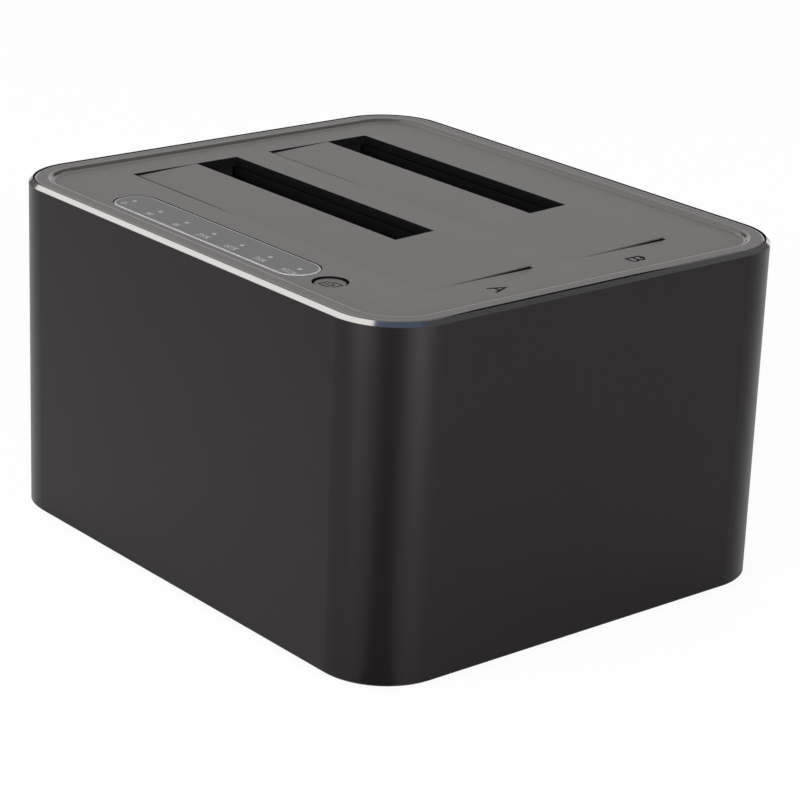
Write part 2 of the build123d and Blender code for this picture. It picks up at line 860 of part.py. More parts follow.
def make_board_screws():
    """The screws down through the main board into the base's standoffs."""
    return [
        screw(x, y, board_z1, small_screw_radius, small_screw_length,
              small_screw_head_radius, small_screw_head_height, False)
        for x, y in board_screw_places()
    ]


def make_bridge_chip():
    """The bridge controller near the front of the board."""
    half = chip_size / 2
    chip = block(-half, half, part_row_y - half, part_row_y + half, board_z1, board_z1 + chip_height)
    return chamfer(chip.edges().filter_by(Axis.Z), chip_corner)


def make_small_chips():
    """Small regulators and the memory chip, in a row beside the bridge controller."""
    chips = []
    for index in range(small_chip_count):
        x = chip_size + index * small_chip_pitch
        half_x, half_y = small_chip_length / 2, small_chip_width / 2
        chips.append(block(x - half_x, x + half_x, part_row_y - half_y, part_row_y + half_y,
                           board_z1, board_z1 + small_chip_height))
    return chips


def make_crystal():
    """The clock crystal's metal can."""
    y0 = part_row_y - crystal_width / 2
    can = block(crystal_x0, crystal_x0 + crystal_length, y0, y0 + crystal_width,
                board_z1, board_z1 + crystal_height)
    return fillet(can.edges().filter_by(Axis.Z), crystal_width / 3)


def capacitor_places():
    """The cans behind the rear well: as many as fit between the ports and the board's ends."""
    x = port_window_length / 2 + capacitor_pitch / 2
    y = board_y1 - capacitor_base
    count = int((board_x - port_window_length / 2) / capacitor_pitch)
    return [(s * (x + index * capacitor_pitch), y) for s in (-1, 1) for index in range(count)]


def make_capacitors():
    """Electrolytic cans on square plastic bases."""
    half = capacitor_base / 2
    cans = []
    for x, y in capacitor_places():
        base = block(x - half, x + half, y - half, y + half, board_z1, board_z1 + capacitor_base_height)
        cans.append(base + post(x, y, capacitor_radius, board_z1, board_z1 + capacitor_height))
    return cans


def make_inductors():
    """Two low power inductors under the wells."""
    half = inductor_size / 2
    parts = []
    for x in (-board_x / 2, board_x / 2):
        core = block(x - half, x + half, -half, half, board_z1, board_z1 + inductor_height)
        core = chamfer(core.edges().filter_by(Axis.Z), inductor_size / 6)
        parts.append(core)
    return parts


def make_rear_bezel():
    """The port plate: a flange behind the sleeve and a land that fills its window."""
    inner_y = end_y - sleeve_wall
    half = port_window_length / 2 + bezel_border
    z1 = board_z1 + usb_height + port_window_margin + bezel_border
    bezel = block(-half, half, inner_y - bezel_thickness, inner_y, base_top_z, z1)
    bezel += port_window(bezel_gap, inner_y, port_face_y)
    y0, y1 = inner_y - bezel_thickness - overrun, end_y
    for name, width, height in (
        ("usb", usb_width, usb_height),
        ("jack", jack_width, jack_height),
        ("switch", switch_width, switch_height),
    ):
        half, x = width / 2 + port_gap, ports_x[name]
        bezel -= block(x - half, x + half, y0, y1, board_z1 - port_gap, board_z1 + height + port_gap)
    return bezel


def usb_mouth_outline():
    """The mouth of the data socket: a chamfered lower opening and a narrower upper one."""
    low, high = usb_mouth_bottom, usb_mouth_bottom + usb_mouth_height
    half, upper = usb_mouth_width / 2, usb_mouth_upper_width / 2
    cut = usb_mouth_chamfer
    top = high + usb_mouth_upper_height
    points = [(-half, low), (half, low), (half, high - cut), (half - cut / 2, high), (upper, high),
              (upper, top), (-upper, top), (-upper, high), (cut / 2 - half, high), (-half, high - cut)]
    return make_face(Polyline(*points, close=True))


def facing_rear(x, y, sketch, depth):
    """A sketch drawn as seen from the rear, pushed forward from the plane at y."""
    plane = Plane(origin=(x, y, board_z1), x_dir=(-1, 0, 0), z_dir=(0, 1, 0))
    return extrude(plane * sketch, -depth)


def make_usb_shell():
    """The metal shell of the data socket."""
    x, half = ports_x["usb"], usb_width / 2
    shell = block(x - half, x + half, port_face_y - usb_length, port_face_y, board_z1,
                  board_z1 + usb_height)
    return shell - facing_rear(x, port_face_y, usb_mouth_outline(), usb_mouth_depth)


def make_usb_tongues():
    """The two contact tongues that stand in the data socket's mouth."""
    x = ports_x["usb"]
    y1 = port_face_y - usb_tongue_inset
    y0 = port_face_y - usb_mouth_depth
    low = board_z1 + usb_mouth_bottom + (usb_mouth_height - usb_tongue_height) / 2
    lower = block(x - usb_tongue_width / 2, x + usb_tongue_width / 2, y0, y1, low,
                  low + usb_tongue_height)
    middle = board_z1 + usb_mouth_bottom + usb_mouth_height + usb_mouth_upper_height / 2
    upper = block(x - usb_upper_tongue_width / 2, x + usb_upper_tongue_width / 2, y0, y1,
                  middle - usb_upper_tongue_height / 2, middle + usb_upper_tongue_height / 2)
    return [lower, upper]


def make_jack_body():
    """The power inlet's body with its round bore."""
    x, half = ports_x["jack"], jack_width / 2
    body = block(x - half, x + half, port_face_y - jack_length, port_face_y, board_z1,
                 board_z1 + jack_height)
    middle = Pos(0, jack_height / 2) * Circle(jack_bore_radius)
    return body - facing_rear(x, port_face_y, middle, jack_bore_depth)


def make_jack_pin():
    """The centre pin of the power inlet."""
    plane = Plane(
        origin=(ports_x["jack"], port_face_y - jack_bore_depth, board_z1 + jack_height / 2),
        z_dir=(0, 1, 0),
    )
    pin = extrude(plane * Circle(jack_pin_radius), jack_bore_depth - jack_pin_inset)
    return chamfer(pin.edges().group_by(Axis.Y)[-1], jack_pin_radius / 2)


def rocker_pivot():
    """The rocker's axis in plan and the height of its middle."""
    return ports_x["switch"], port_face_y - rocker_pivot_depth, board_z1 + switch_height / 2


def make_switch_body():
    """The switch's body, with a well for the rocker and a bearing hole in each side of it."""
    x, pivot_y, z = rocker_pivot()
    half = switch_width / 2
    body = block(x - half, x + half, port_face_y - switch_length, port_face_y, board_z1,
                 board_z1 + switch_height)
    reach = rocker_radius + rocker_gap
    rise = rocker_width / 2 + rocker_gap
    body -= block(x - reach, x + reach, port_face_y - rocker_well_depth, port_face_y + overrun,
                  z - rise, z + rise)
    hole = rocker_width / 2 + rocker_pin_reach + rocker_gap
    return body - post(x, pivot_y, rocker_pin_radius + running_gap, z - hole, z + hole)


def make_power_rocker():
    """The rocker, a dished bar that tips about an upright axis, shown tipped to one side."""
    x, pivot_y, z = rocker_pivot()
    bottom = rocker_pivot_depth - rocker_thickness
    side = rocker_pivot_depth + rocker_radius * sin(radians(rocker_tilt))
    half = rocker_radius * cos(radians(rocker_tilt))
    side_outline = Polyline(
        (-half, bottom), (half, bottom), (half, side), (0, rocker_pivot_depth), (-half, side),
        close=True,
    )
    bar = extrude(make_face(side_outline), rocker_width / 2, both=True)
    bar &= post(0, 0, rocker_radius, -rocker_width, rocker_width)
    reach = rocker_width / 2 + rocker_pin_reach
    bar += post(0, 0, rocker_pin_radius, -reach, reach)
    return Pos(x, pivot_y, z) * Rot(0, 0, rocker_tilt) * bar


def make_status_window():
    """The smoked lens, lying in its pocket flush with the sunken face."""
    z0 = plate_top_z - window_thickness
    radius = window_radius - window_gap
    lens = obround(window_centre_x, window_y, window_half_span, radius, z0, plate_top_z)
    return chamfer(lens.edges().group_by(Axis.Z)[-1], window_edge_chamfer)


def make_light_guide():
    """A clear bar under the window with a square post down to each lamp."""
    z1 = plate_top_z - window_thickness
    z0 = plate_under_z - light_bar_drop
    radius = window_radius - window_ledge - light_bar_gap
    guide = obround(window_centre_x, window_y, window_half_span, radius, z0, z1)
    half = light_post_width / 2
    for index in range(light_count):
        x = light_first_x + index * light_pitch
        guide += block(x - half, x + half, window_y - half, window_y + half,
                       indicator_z1 + led_height + light_post_gap, z0)
    return guide


def indicator_screw_places():
    """The two screws of the indicator board."""
    x = indicator_half_length - indicator_screw_inset
    return [(-x, window_y), (x, window_y)]


def make_indicator_board():
    """The small board under the status window."""
    half = indicator_half_length
    board = block(-half, half, window_y - indicator_half_width, window_y + indicator_half_width,
                  indicator_z0, indicator_z1)
    board = fillet(board.edges().filter_by(Axis.Z), board_corner_radius)
    for x, y in indicator_screw_places():
        board -= post(x, y, small_screw_radius + seat_gap, indicator_z0 - overrun,
                      indicator_z1 + overrun)
    return board


def make_indicator_screws():
    """The screws up through the indicator board into the top."""
    return [
        screw(x, y, indicator_z0, small_screw_radius, small_screw_length,
              small_screw_head_radius, small_screw_head_height, True)
        for x, y in indicator_screw_places()
    ]


def make_indicator_lamps():
    """The lamps on the indicator board, one under each post of the light guide."""
    lamps = []
    for index in range(light_count):
        x = light_first_x + index * light_pitch
        lamps.append(block(x - led_length / 2, x + led_length / 2, window_y - led_width / 2,
                           window_y + led_width / 2, indicator_z1, indicator_z1 + led_height))
    return lamps


def make_button():
    """The round button, with the flange that keeps it in and the stem to the tact switch."""
    top = plate_top_z - button_sink
    flange_z1 = plate_under_z - button_flange_gap
    flange_z0 = flange_z1 - button_flange_thickness
    cap = post(button_x, window_y, button_radius, flange_z0, top)
    cap = chamfer(cap.edges().group_by(Axis.Z)[-1], button_edge_chamfer)
    cap += post(button_x, window_y, button_flange_radius, flange_z0, flange_z1)
    return cap + post(button_x, window_y, button_stem_radius, plunger_top_z(), flange_z0)


def plunger_top_z():
    """The top of the tact switch's plunger."""
    return indicator_z1 + tact_height + tact_plunger_rise


def make_tact_switch():
    """The tact switch's body, bored for its plunger."""
    half = tact_size / 2
    body = block(button_x - half, button_x + half, window_y - half, window_y + half,
                 indicator_z1, indicator_z1 + tact_height)
    body = chamfer(body.edges().group_by(Axis.Z)[-1], tact_edge)
    hole_z = indicator_z1 + tact_height - tact_plunger_depth - button_travel - running_gap
    return body - post(button_x, window_y, tact_plunger_radius + running_gap, hole_z,
                       indicator_z1 + tact_height + overrun)


def make_tact_plunger():
    """The tact switch's plunger, which moves with the button."""
    return post(button_x, window_y, tact_plunger_radius,
                indicator_z1 + tact_height - tact_plunger_depth, plunger_top_z())


def ribbon_ends():
    """Where the flat cable enters its upper and lower sockets, as (y, z)."""
    upper = (window_y - ribbon_shift / 2, indicator_z0 - ribbon_socket_height)
    lower = (window_y + ribbon_shift / 2, board_z1 + ribbon_socket_height)
    return upper, lower


def make_ribbon_cable():
    """The flat cable, which hangs from the indicator board to the main board in one S-bend."""
    (upper_y, upper_z), (lower_y, lower_z) = ribbon_ends()
    path = FilletPolyline(
        (ribbon_x, upper_y, upper_z + ribbon_plug),
        (ribbon_x, upper_y, upper_z - ribbon_straight),
        (ribbon_x, lower_y, lower_z + ribbon_straight),
        (ribbon_x, lower_y, lower_z - ribbon_plug),
        radius=ribbon_bend_radius,
    )
    section = Plane(origin=path @ 0, x_dir=(1, 0, 0), z_dir=(0, 0, -1))
    return sweep(section * Rectangle(ribbon_width, ribbon_thickness), path=path)


def ribbon_socket(y, z0, z1, slot_z0, slot_z1):
    """A flat-cable socket, slotted for the cable's end."""
    half_x, half_y = ribbon_socket_length / 2, ribbon_socket_width / 2
    body = block(ribbon_x - half_x, ribbon_x + half_x, y - half_y, y + half_y, z0, z1)
    half_x, half_y = ribbon_width / 2 + running_gap, ribbon_thickness / 2 + running_gap
    return body - block(ribbon_x - half_x, ribbon_x + half_x, y - half_y, y + half_y, slot_z0, slot_z1)


def make_upper_ribbon_socket():
    """The socket under the indicator board."""
    (y, z), _ = ribbon_ends()
    return ribbon_socket(y, z, indicator_z0, z - overrun, z + ribbon_plug + running_gap)


def make_lower_ribbon_socket():
    """The socket on the main board."""
    _, (y, z) = ribbon_ends()
    return ribbon_socket(y, board_z1, z, z - ribbon_plug - running_gap, z + overrun)


def build_parts():
    """Every piece by its name."""
    parts = {
        "sleeve": make_sleeve(),
        "base_plate": make_base_plate(),
        "spacer_posts": make_spacer_posts(),
        "housing_screws": make_housing_screws(),
        "top_plate": make_top_plate(),
        "well_screws": make_well_screws(),
        "main_board": make_main_board(),
        "board_screws": make_board_screws(),
        "bridge_chip": make_bridge_chip(),
        "small_chips": make_small_chips(),
        "crystal": make_crystal(),
        "capacitors": make_capacitors(),
        "inductors": make_inductors(),
        "rear_bezel": make_rear_bezel(),
        "usb_shell": make_usb_shell(),
        "usb_tongues": make_usb_tongues(),
        "power_jack": make_jack_body(),
        "power_jack_pin": make_jack_pin(),
        "switch_body": make_switch_body(),
        "power_rocker": make_power_rocker(),
        "status_window": make_status_window(),
        "light_guide": make_light_guide(),
        "indicator_board": make_indicator_board(),
        "indicator_screws": make_indicator_screws(),
        "indicator_lamps": make_indicator_lamps(),
        "clone_button": make_button(),
        "tact_switch": make_tact_switch(),
        "tact_plunger": make_tact_plunger(),
        "ribbon_cable": make_ribbon_cable(),
        "upper_ribbon_socket": make_upper_ribbon_socket(),
        "lower_ribbon_socket": make_lower_ribbon_socket(),
    }
    for bay, front in bay_fronts.items():
        parts[f"flap_{bay}"] = make_flap(front)
        parts[f"hinge_bar_{bay}"] = make_hinge_bar(front)
        parts[f"hinge_pin_{bay}"] = make_hinge_pin(front)
        parts[f"flap_spring_{bay}"] = make_flap_spring(front)
        parts[f"drive_well_{bay}"] = make_drive_well(front)
        parts[f"drive_socket_{bay}"] = make_drive_socket(front)
        parts[f"socket_contacts_{bay}"] = make_socket_contacts(front)
    foot_names = ("front_left", "front_right", "rear_right", "rear_left")
    for (x, y), name in zip(corners(foot_x, foot_y), foot_names):
        parts[f"foot_{name}"] = make_foot(x, y)
    return parts


def write_parts():
    """Write one file per piece."""
    os.makedirs("parts", exist_ok=True)
    for name, shape in build_parts().items():
        whole = Compound(children=list(shape)) if isinstance(shape, list) else shape
        export_step(whole, f"parts/{name}.step")
        print(name, [round(size, 2) for size in whole.bounding_box().size])


write_parts()
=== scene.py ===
import logging
import math
from dataclasses import dataclass
from enum import Enum
from typing import Any, Callable, ClassVar, Iterable, Mapping, Sequence

import bpy
from mathutils import Matrix, Vector


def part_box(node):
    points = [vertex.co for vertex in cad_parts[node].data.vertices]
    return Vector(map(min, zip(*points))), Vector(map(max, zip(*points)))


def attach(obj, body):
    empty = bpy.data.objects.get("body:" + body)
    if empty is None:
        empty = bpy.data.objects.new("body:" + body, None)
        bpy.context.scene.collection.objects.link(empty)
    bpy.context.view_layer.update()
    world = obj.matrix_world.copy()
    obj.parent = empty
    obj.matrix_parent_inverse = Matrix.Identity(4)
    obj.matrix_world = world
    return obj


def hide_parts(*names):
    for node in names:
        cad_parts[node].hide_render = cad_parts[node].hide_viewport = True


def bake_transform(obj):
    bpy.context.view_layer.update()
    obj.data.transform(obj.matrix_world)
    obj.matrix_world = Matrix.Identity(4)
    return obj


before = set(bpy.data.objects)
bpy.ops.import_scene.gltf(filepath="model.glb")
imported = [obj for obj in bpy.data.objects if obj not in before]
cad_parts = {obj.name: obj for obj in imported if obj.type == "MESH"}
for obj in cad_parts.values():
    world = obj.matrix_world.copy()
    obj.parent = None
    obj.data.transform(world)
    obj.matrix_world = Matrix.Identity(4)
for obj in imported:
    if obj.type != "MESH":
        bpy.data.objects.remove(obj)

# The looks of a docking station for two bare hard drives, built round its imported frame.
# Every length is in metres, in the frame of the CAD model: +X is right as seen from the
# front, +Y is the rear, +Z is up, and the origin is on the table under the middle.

LOG = logging.getLogger("docking_station")
MM = 0.001

Point = tuple[float, float]
Colour = tuple[float, float, float]

# The Z of a face's normal: under UPRIGHT the face stands, between the SLOPED figures it is a
# chamfer, and over LEVEL it lies flat.
UPRIGHT = 0.3
SLOPED = (0.5, 0.9)
LEVEL = 0.9999


# Shader graphs


def operator(operation: str, swapped: bool = False) -> Callable[["Value", Any], "Value"]:
    """Makes a method of Value that adds one Math node.

    Args:
        operation: The Math node's operation.
        swapped: Whether the other operand comes first.

    Returns:
        The method, which takes the other operand as a number or a Value.
    """

    def apply(value: "Value", other: Any) -> "Value":
        """The Math node's result."""
        first, second = (other, value) if swapped else (value, other)
        return value.graph.node("Math", {"operation": operation}, {0: first, 1: second})

    return apply


@dataclass(frozen=True)
class Value:
    """One output socket of a shader graph. Arithmetic and comparisons on it add Math nodes."""

    graph: "Graph"
    socket: bpy.types.NodeSocket

    __add__ = operator("ADD")
    __radd__ = operator("ADD", swapped=True)
    __sub__ = operator("SUBTRACT")
    __rsub__ = operator("SUBTRACT", swapped=True)
    __mul__ = operator("MULTIPLY")
    __rmul__ = operator("MULTIPLY", swapped=True)
    __gt__ = operator("GREATER_THAN")
    __lt__ = operator("LESS_THAN")
    to_and_fro = operator("PINGPONG")

    def __abs__(self) -> "Value":
        """This value without its sign."""
        return self.graph.node("Math", {"operation": "ABSOLUTE"}, {0: self})

    def ramp(self, low: float, high: float, start: float = 0.0, end: float = 1.0) -> "Value":
        """Carries a span of this value smoothly onto another span.

        Args:
            low: The value that gives start.
            high: The value that gives end.
            start: The result at low and under it.
            end: The result at high and over it.

        Returns:
            The smoothed result.
        """
        sockets = {0: self, 1: low, 2: high, 3: start, 4: end}
        return self.graph.node("MapRange", {"interpolation_type": "SMOOTHSTEP"}, sockets)


class Graph:
    """The node tree of one material or world."""

    def __init__(self, tree: bpy.types.NodeTree) -> None:
        """Empties a node tree to build in it.

        Args:
            tree: The tree of a material or a world.
        """
        self.tree = tree
        tree.nodes.clear()

    def node(
        self,
        kind: str,
        settings: Mapping[str, Any] | None = None,
        sockets: Mapping[int | str, Any] | None = None,
        out: int | str = 0,
    ) -> Value:
        """Adds one node, sets its settings first and then its sockets.

        Args:
            kind: The node's type without its ShaderNode prefix.
            settings: Properties of the node.
            sockets: A number, a colour or a Value for each input, by index or name.
            out: The output to return.

        Returns:
            The chosen output.
        """
        made = self.tree.nodes.new(f"ShaderNode{kind}")
        for name, setting in (settings or {}).items():
            setattr(made, name, setting)
        for key, value in (sockets or {}).items():
            if isinstance(value, Value):
                self.tree.links.new(value.socket, made.inputs[key])
            elif isinstance(value, tuple) and len(value) == 3 and made.inputs[key].type == "RGBA":
                made.inputs[key].default_value = (*value, 1.0)
            else:
                made.inputs[key].default_value = value
        return Value(self, made.outputs[out] if len(made.outputs) else None)

    def place(self) -> Value:
        """The surface point in the object's own frame."""
        return self.node("TexCoord", out="Object")

    def axis(self, name: str) -> Value:
        """One coordinate of the surface point, by its axis name."""
        return self.node("SeparateXYZ", None, {0: self.place()}, out=name)

    def stretched(self, x: float, y: float, z: float) -> Value:
        """The surface point with each axis scaled.

        Args:
            x: The scale along X.
            y: The scale along Y.
            z: The scale along Z.

        Returns:
            The scaled point.
        """
        return self.node("VectorMath", {"operation": "MULTIPLY"}, {0: self.place(), 1: (x, y, z)})

    def noise(self, size: float, detail: float = 2.0, at: Value | None = None) -> Value:
        """Soft noise from 0 to 1.

        Args:
            size: The width of one blotch.
            detail: The number of finer layers.
            at: The point to read it at, or None for the surface point.

        Returns:
            The noise.
        """
        sockets = {"Vector": at or self.place(), "Scale": 1.0 / size, "Detail": detail}
        return self.node("TexNoise", None, sockets)

    def cells(self, size: float) -> Value:
        """Distances from the middles of scattered cells of that width."""
        return self.node("TexVoronoi", None, {"Vector": self.place(), "Scale": 1.0 / size}, "Distance")

    def mix(self, factor: Any, first: Any, second: Any) -> Value:
        """Blends two colours.

        Args:
            factor: 0 gives the first colour and 1 the second.
            first: A colour or a Value.
            second: A colour or a Value.

        Returns:
            The blended colour.
        """
        return self.node("Mix", {"data_type": "RGBA"}, {0: factor, 6: first, 7: second}, 2)

    def bump(self, height: Value, depth: float, strength: float = 1.0) -> Value:
        """A normal that a height map raises.

        Args:
            height: The height from 0 to 1.
            depth: The height of 1, as a length.
            strength: How much of the height shows.

        Returns:
            The raised normal.
        """
        return self.node("Bump", None, {"Strength": strength, "Distance": depth, "Height": height})

    def principled(self, **sockets: Any) -> Value:
        """Adds a Principled shader.

        Args:
            sockets: Its inputs, with underscores for the blanks in their names.

        Returns:
            The shader's output.
        """
        return self.node("BsdfPrincipled", None, {k.replace("_", " "): v for k, v in sockets.items()})

    def surface(self, **sockets: Any) -> None:
        """Ends the graph in one Principled shader, whose inputs are given as for principled."""
        self.output(self.principled(**sockets))

    def output(self, shader: Value) -> None:
        """Joins a shader to the graph's output."""
        world = isinstance(shader.socket.node, bpy.types.ShaderNodeBackground)
        self.node("OutputWorld" if world else "OutputMaterial", None, {0: shader})


# Finishes


def scaled(colour: Colour, share: float) -> Colour:
    """A colour times a share."""
    return tuple(c * share for c in colour)


@dataclass(frozen=True)
class Finish:
    """A named surface finish. Each kind of finish draws its own graph."""

    name: str
    made: ClassVar[dict[str, bpy.types.Material]] = {}

    def material(self) -> bpy.types.Material:
        """The finish's material, made once."""
        if self.name not in Finish.made:
            material = bpy.data.materials.new(self.name)
            material.use_nodes = True
            self.draw(Graph(material.node_tree))
            Finish.made[self.name] = material
        return Finish.made[self.name]

    def draw(self, graph: Graph) -> None:
        """Draws the finish in an empty graph."""
        raise NotImplementedError


@dataclass(frozen=True)
class MouldedPlastic(Finish):
    """Moulded plastic with a spark-eroded grain, faint flow marks and handling smudges."""

    colour: Colour = (0.1, 0.1, 0.1)
    roughness: float = 0.5
    grain: float = 0.35 * MM
    grain_depth: float = 0.012 * MM
    mottle: float = 0.06
    gloss: float = 0.5

    def draw(self, graph: Graph) -> None:
        """Draws the grain, the flow marks and the smudges."""
        graph.output(self.shader(graph))

    def shader(self, graph: Graph) -> Value:
        """The grained plastic's shader."""
        fine = graph.noise(self.grain, 3.0)
        pits = graph.cells(self.grain * 1.7)
        flow = graph.noise(38 * MM, 4.0)
        smudge = graph.noise(11 * MM, 5.0).ramp(0.55, 0.75)
        darker = scaled(self.colour, 1 - self.mottle)
        lighter = scaled(self.colour, 1 + self.mottle)
        tone = graph.mix(flow * 0.15 + fine.ramp(0.32, 0.68) * 0.85, darker, lighter)
        height = fine * 0.6 + pits * 0.5
        return graph.principled(
            Base_Color=tone,
            Roughness=self.roughness + (fine - 0.5) * 0.1 - smudge * 0.02,
            Normal=graph.bump(height, self.grain_depth, 0.8),
            Specular_IOR_Level=self.gloss,
        )


@dataclass(frozen=True)
class PaintedGapShadePlastic(MouldedPlastic):
    """Grained plastic with painted shade: a dark strip along a straight edge that stands for the
    shadow in the gap beside it, widest at one place of its run.
    """

    across: str = "X"
    along: str = "Y"
    inward: float = -1.0
    edge: float = 66.7 * MM
    width: float = 0.55 * MM
    # The colour of the painted shadow in the gap.
    shade: Colour = (0.002, 0.002, 0.002)
    darkest: float = -10.0 * MM
    reach: float = 38.0 * MM
    speck: float = 0.4 * MM
    ragged: float = 3.0 * MM
    shut: float = 0.02

    def draw(self, graph: Graph) -> None:
        """Draws the painted gap shade over the grained plastic."""
        fine = graph.noise(self.speck, 3.0)
        off = abs(graph.axis(self.along) - self.darkest)
        opened = (off + (fine - 0.5) * self.ragged).ramp(self.reach * 0.5, self.reach, 1.0, 0.0)
        tone = graph.mix(fine, self.shade, scaled(self.shade, 3.0))
        painted_gap_shade = graph.node("BsdfDiffuse", None, {"Color": tone})
        depth = (graph.axis(self.across) - self.edge) * self.inward
        # Painted shade: the strip is widest at darkest and closes towards reach.
        painted_shade_mask = (depth < opened * self.width) * (opened > self.shut)
        graph.output(graph.node("MixShader", None, {0: painted_shade_mask, 1: self.shader(graph), 2: painted_gap_shade}))


@dataclass(frozen=True)
class AnodisedAluminium(Finish):
    """Bead-blasted and dyed aluminium, with the faint upright draw lines of the extrusion."""

    colour: Colour = (0.0236, 0.0201, 0.0216)
    roughness: float = 0.32

    def draw(self, graph: Graph) -> None:
        """Draws the blasted grain, the draw lines and the slight unevenness of the dye."""
        blast = graph.noise(0.16 * MM, 2.0)
        peen = graph.cells(0.3 * MM)
        drawn = graph.noise(0.9 * MM, 2.0, graph.stretched(1.0, 1.0, 0.01))
        dye = graph.noise(55 * MM, 3.0)
        handled = graph.noise(16 * MM, 4.0).ramp(0.52, 0.75)
        tone = graph.mix(
            dye * 0.5 + blast * 0.35 + drawn * 0.15,
            scaled(self.colour, 0.86),
            scaled(self.colour, 1.14),
        )
        height = blast * 0.5 + peen * 0.5 + drawn * 0.15
        graph.surface(
            Base_Color=tone,
            Metallic=1.0,
            Roughness=self.roughness + (blast - 0.5) * 0.07 - handled * 0.03,
            Normal=graph.bump(height, 0.005 * MM, 0.6),
        )


@dataclass(frozen=True)
class BrightCut(Finish):
    """The diamond-cut chamfer: bare aluminium with fine cutter marks."""

    colour: Colour = (0.74, 0.715, 0.7)
    roughness: float = 0.1

    def draw(self, graph: Graph) -> None:
        """Draws the cutter's marks across the chamfer and its small chatter."""
        marks = graph.noise(0.12 * MM, 2.0, graph.stretched(1.0, 1.0, 0.05))
        chatter = graph.noise(1.4 * MM, 3.0)
        tone = graph.mix(marks * 0.5 + chatter * 0.5, scaled(self.colour, 0.93), self.colour)
        graph.surface(
            Base_Color=tone,
            Metallic=1.0,
            Roughness=self.roughness + chatter * 0.05,
            Normal=graph.bump(marks * 0.3 + chatter * 0.7, 0.004 * MM, 0.6),
        )


@dataclass(frozen=True)
class SmokedLens(Finish):
    """A dense smoked lens with a satin face."""

    colour: Colour = (0.12, 0.118, 0.116)
    roughness: float = 0.3

    def draw(self, graph: Graph) -> None:
        """Draws the satin face, hair scratches and a little dust."""
        satin = graph.noise(0.2 * MM, 2.0)
        hair = graph.noise(0.5 * MM, 1.0, graph.stretched(0.15, 1.0, 1.0)).ramp(0.68, 0.8)
        dust = graph.cells(1.9 * MM).ramp(0.07, 0.04)
        tone = graph.mix(dust * 0.25, self.colour, (0.3, 0.29, 0.28))
        graph.surface(
            Base_Color=graph.mix(satin * 0.4, tone, scaled(self.colour, 0.93)),
            Roughness=self.roughness + hair * 0.1 + dust * 0.2,
            Normal=graph.bump(satin, 0.008 * MM, 0.6),
            Specular_IOR_Level=0.66,
        )


@dataclass(frozen=True)
class ClearPlastic(Finish):
    """Clear moulded light guide, with frosted faces and flow lines."""

    def draw(self, graph: Graph) -> None:
        """Draws the clear body and its frosting."""
        frost = graph.noise(0.3 * MM, 3.0)
        flow = graph.noise(4 * MM, 4.0, graph.stretched(0.2, 1.0, 1.0))
        graph.surface(
            Base_Color=graph.mix(flow, (0.86, 0.89, 0.9), (0.93, 0.94, 0.94)),
            Roughness=0.12 + frost * 0.16,
            Normal=graph.bump(frost, 0.004 * MM, 0.5),
            Transmission_Weight=0.85,
            IOR=1.49,
        )


@dataclass(frozen=True)
class MouldedRubber(Finish):
    """Matt rubber with scuffs and caught dust."""

    colour: Colour = (0.018, 0.018, 0.018)

    def draw(self, graph: Graph) -> None:
        """Draws the skin, the scuffs and the dust."""
        skin = graph.noise(0.25 * MM, 4.0)
        scuff = graph.noise(2.2 * MM, 5.0).ramp(0.5, 0.7)
        dust = graph.cells(1.1 * MM).ramp(0.1, 0.05)
        tone = graph.mix(scuff * 0.35 + dust * 0.3, self.colour, (0.09, 0.088, 0.085))
        graph.surface(
            Base_Color=tone,
            Roughness=0.78 + scuff * 0.12,
            Normal=graph.bump(skin * 0.7 + scuff * 0.3, 0.02 * MM, 0.8),
            Specular_IOR_Level=0.35,
        )


@dataclass(frozen=True)
class Metal(Finish):
    """Plated or bare metal with a grain along one axis, stains and rubbed spots."""

    colour: Colour = (0.6, 0.6, 0.6)
    roughness: float = 0.3
    along: tuple[float, float, float] = (1.0, 1.0, 0.1)
    grain: float = 0.12 * MM
    stain: Colour = (0.4, 0.37, 0.33)

    def draw(self, graph: Graph) -> None:
        """Draws the grain, the stains and the rubbed spots."""
        lines = graph.noise(self.grain, 2.0, graph.stretched(*self.along))
        stains = graph.noise(2.6 * MM, 4.0).ramp(0.55, 0.8)
        rubbed = graph.noise(0.8 * MM, 3.0).ramp(0.55, 0.75)
        tone = graph.mix(stains * 0.35, self.colour, self.stain)
        graph.surface(
            Base_Color=graph.mix(lines * 0.3, tone, scaled(self.colour, 0.7)),
            Metallic=1.0,
            Roughness=self.roughness + stains * 0.15 - rubbed * 0.06,
            Normal=graph.bump(lines * 0.7 + rubbed * 0.3, 0.004 * MM, 0.6),
        )


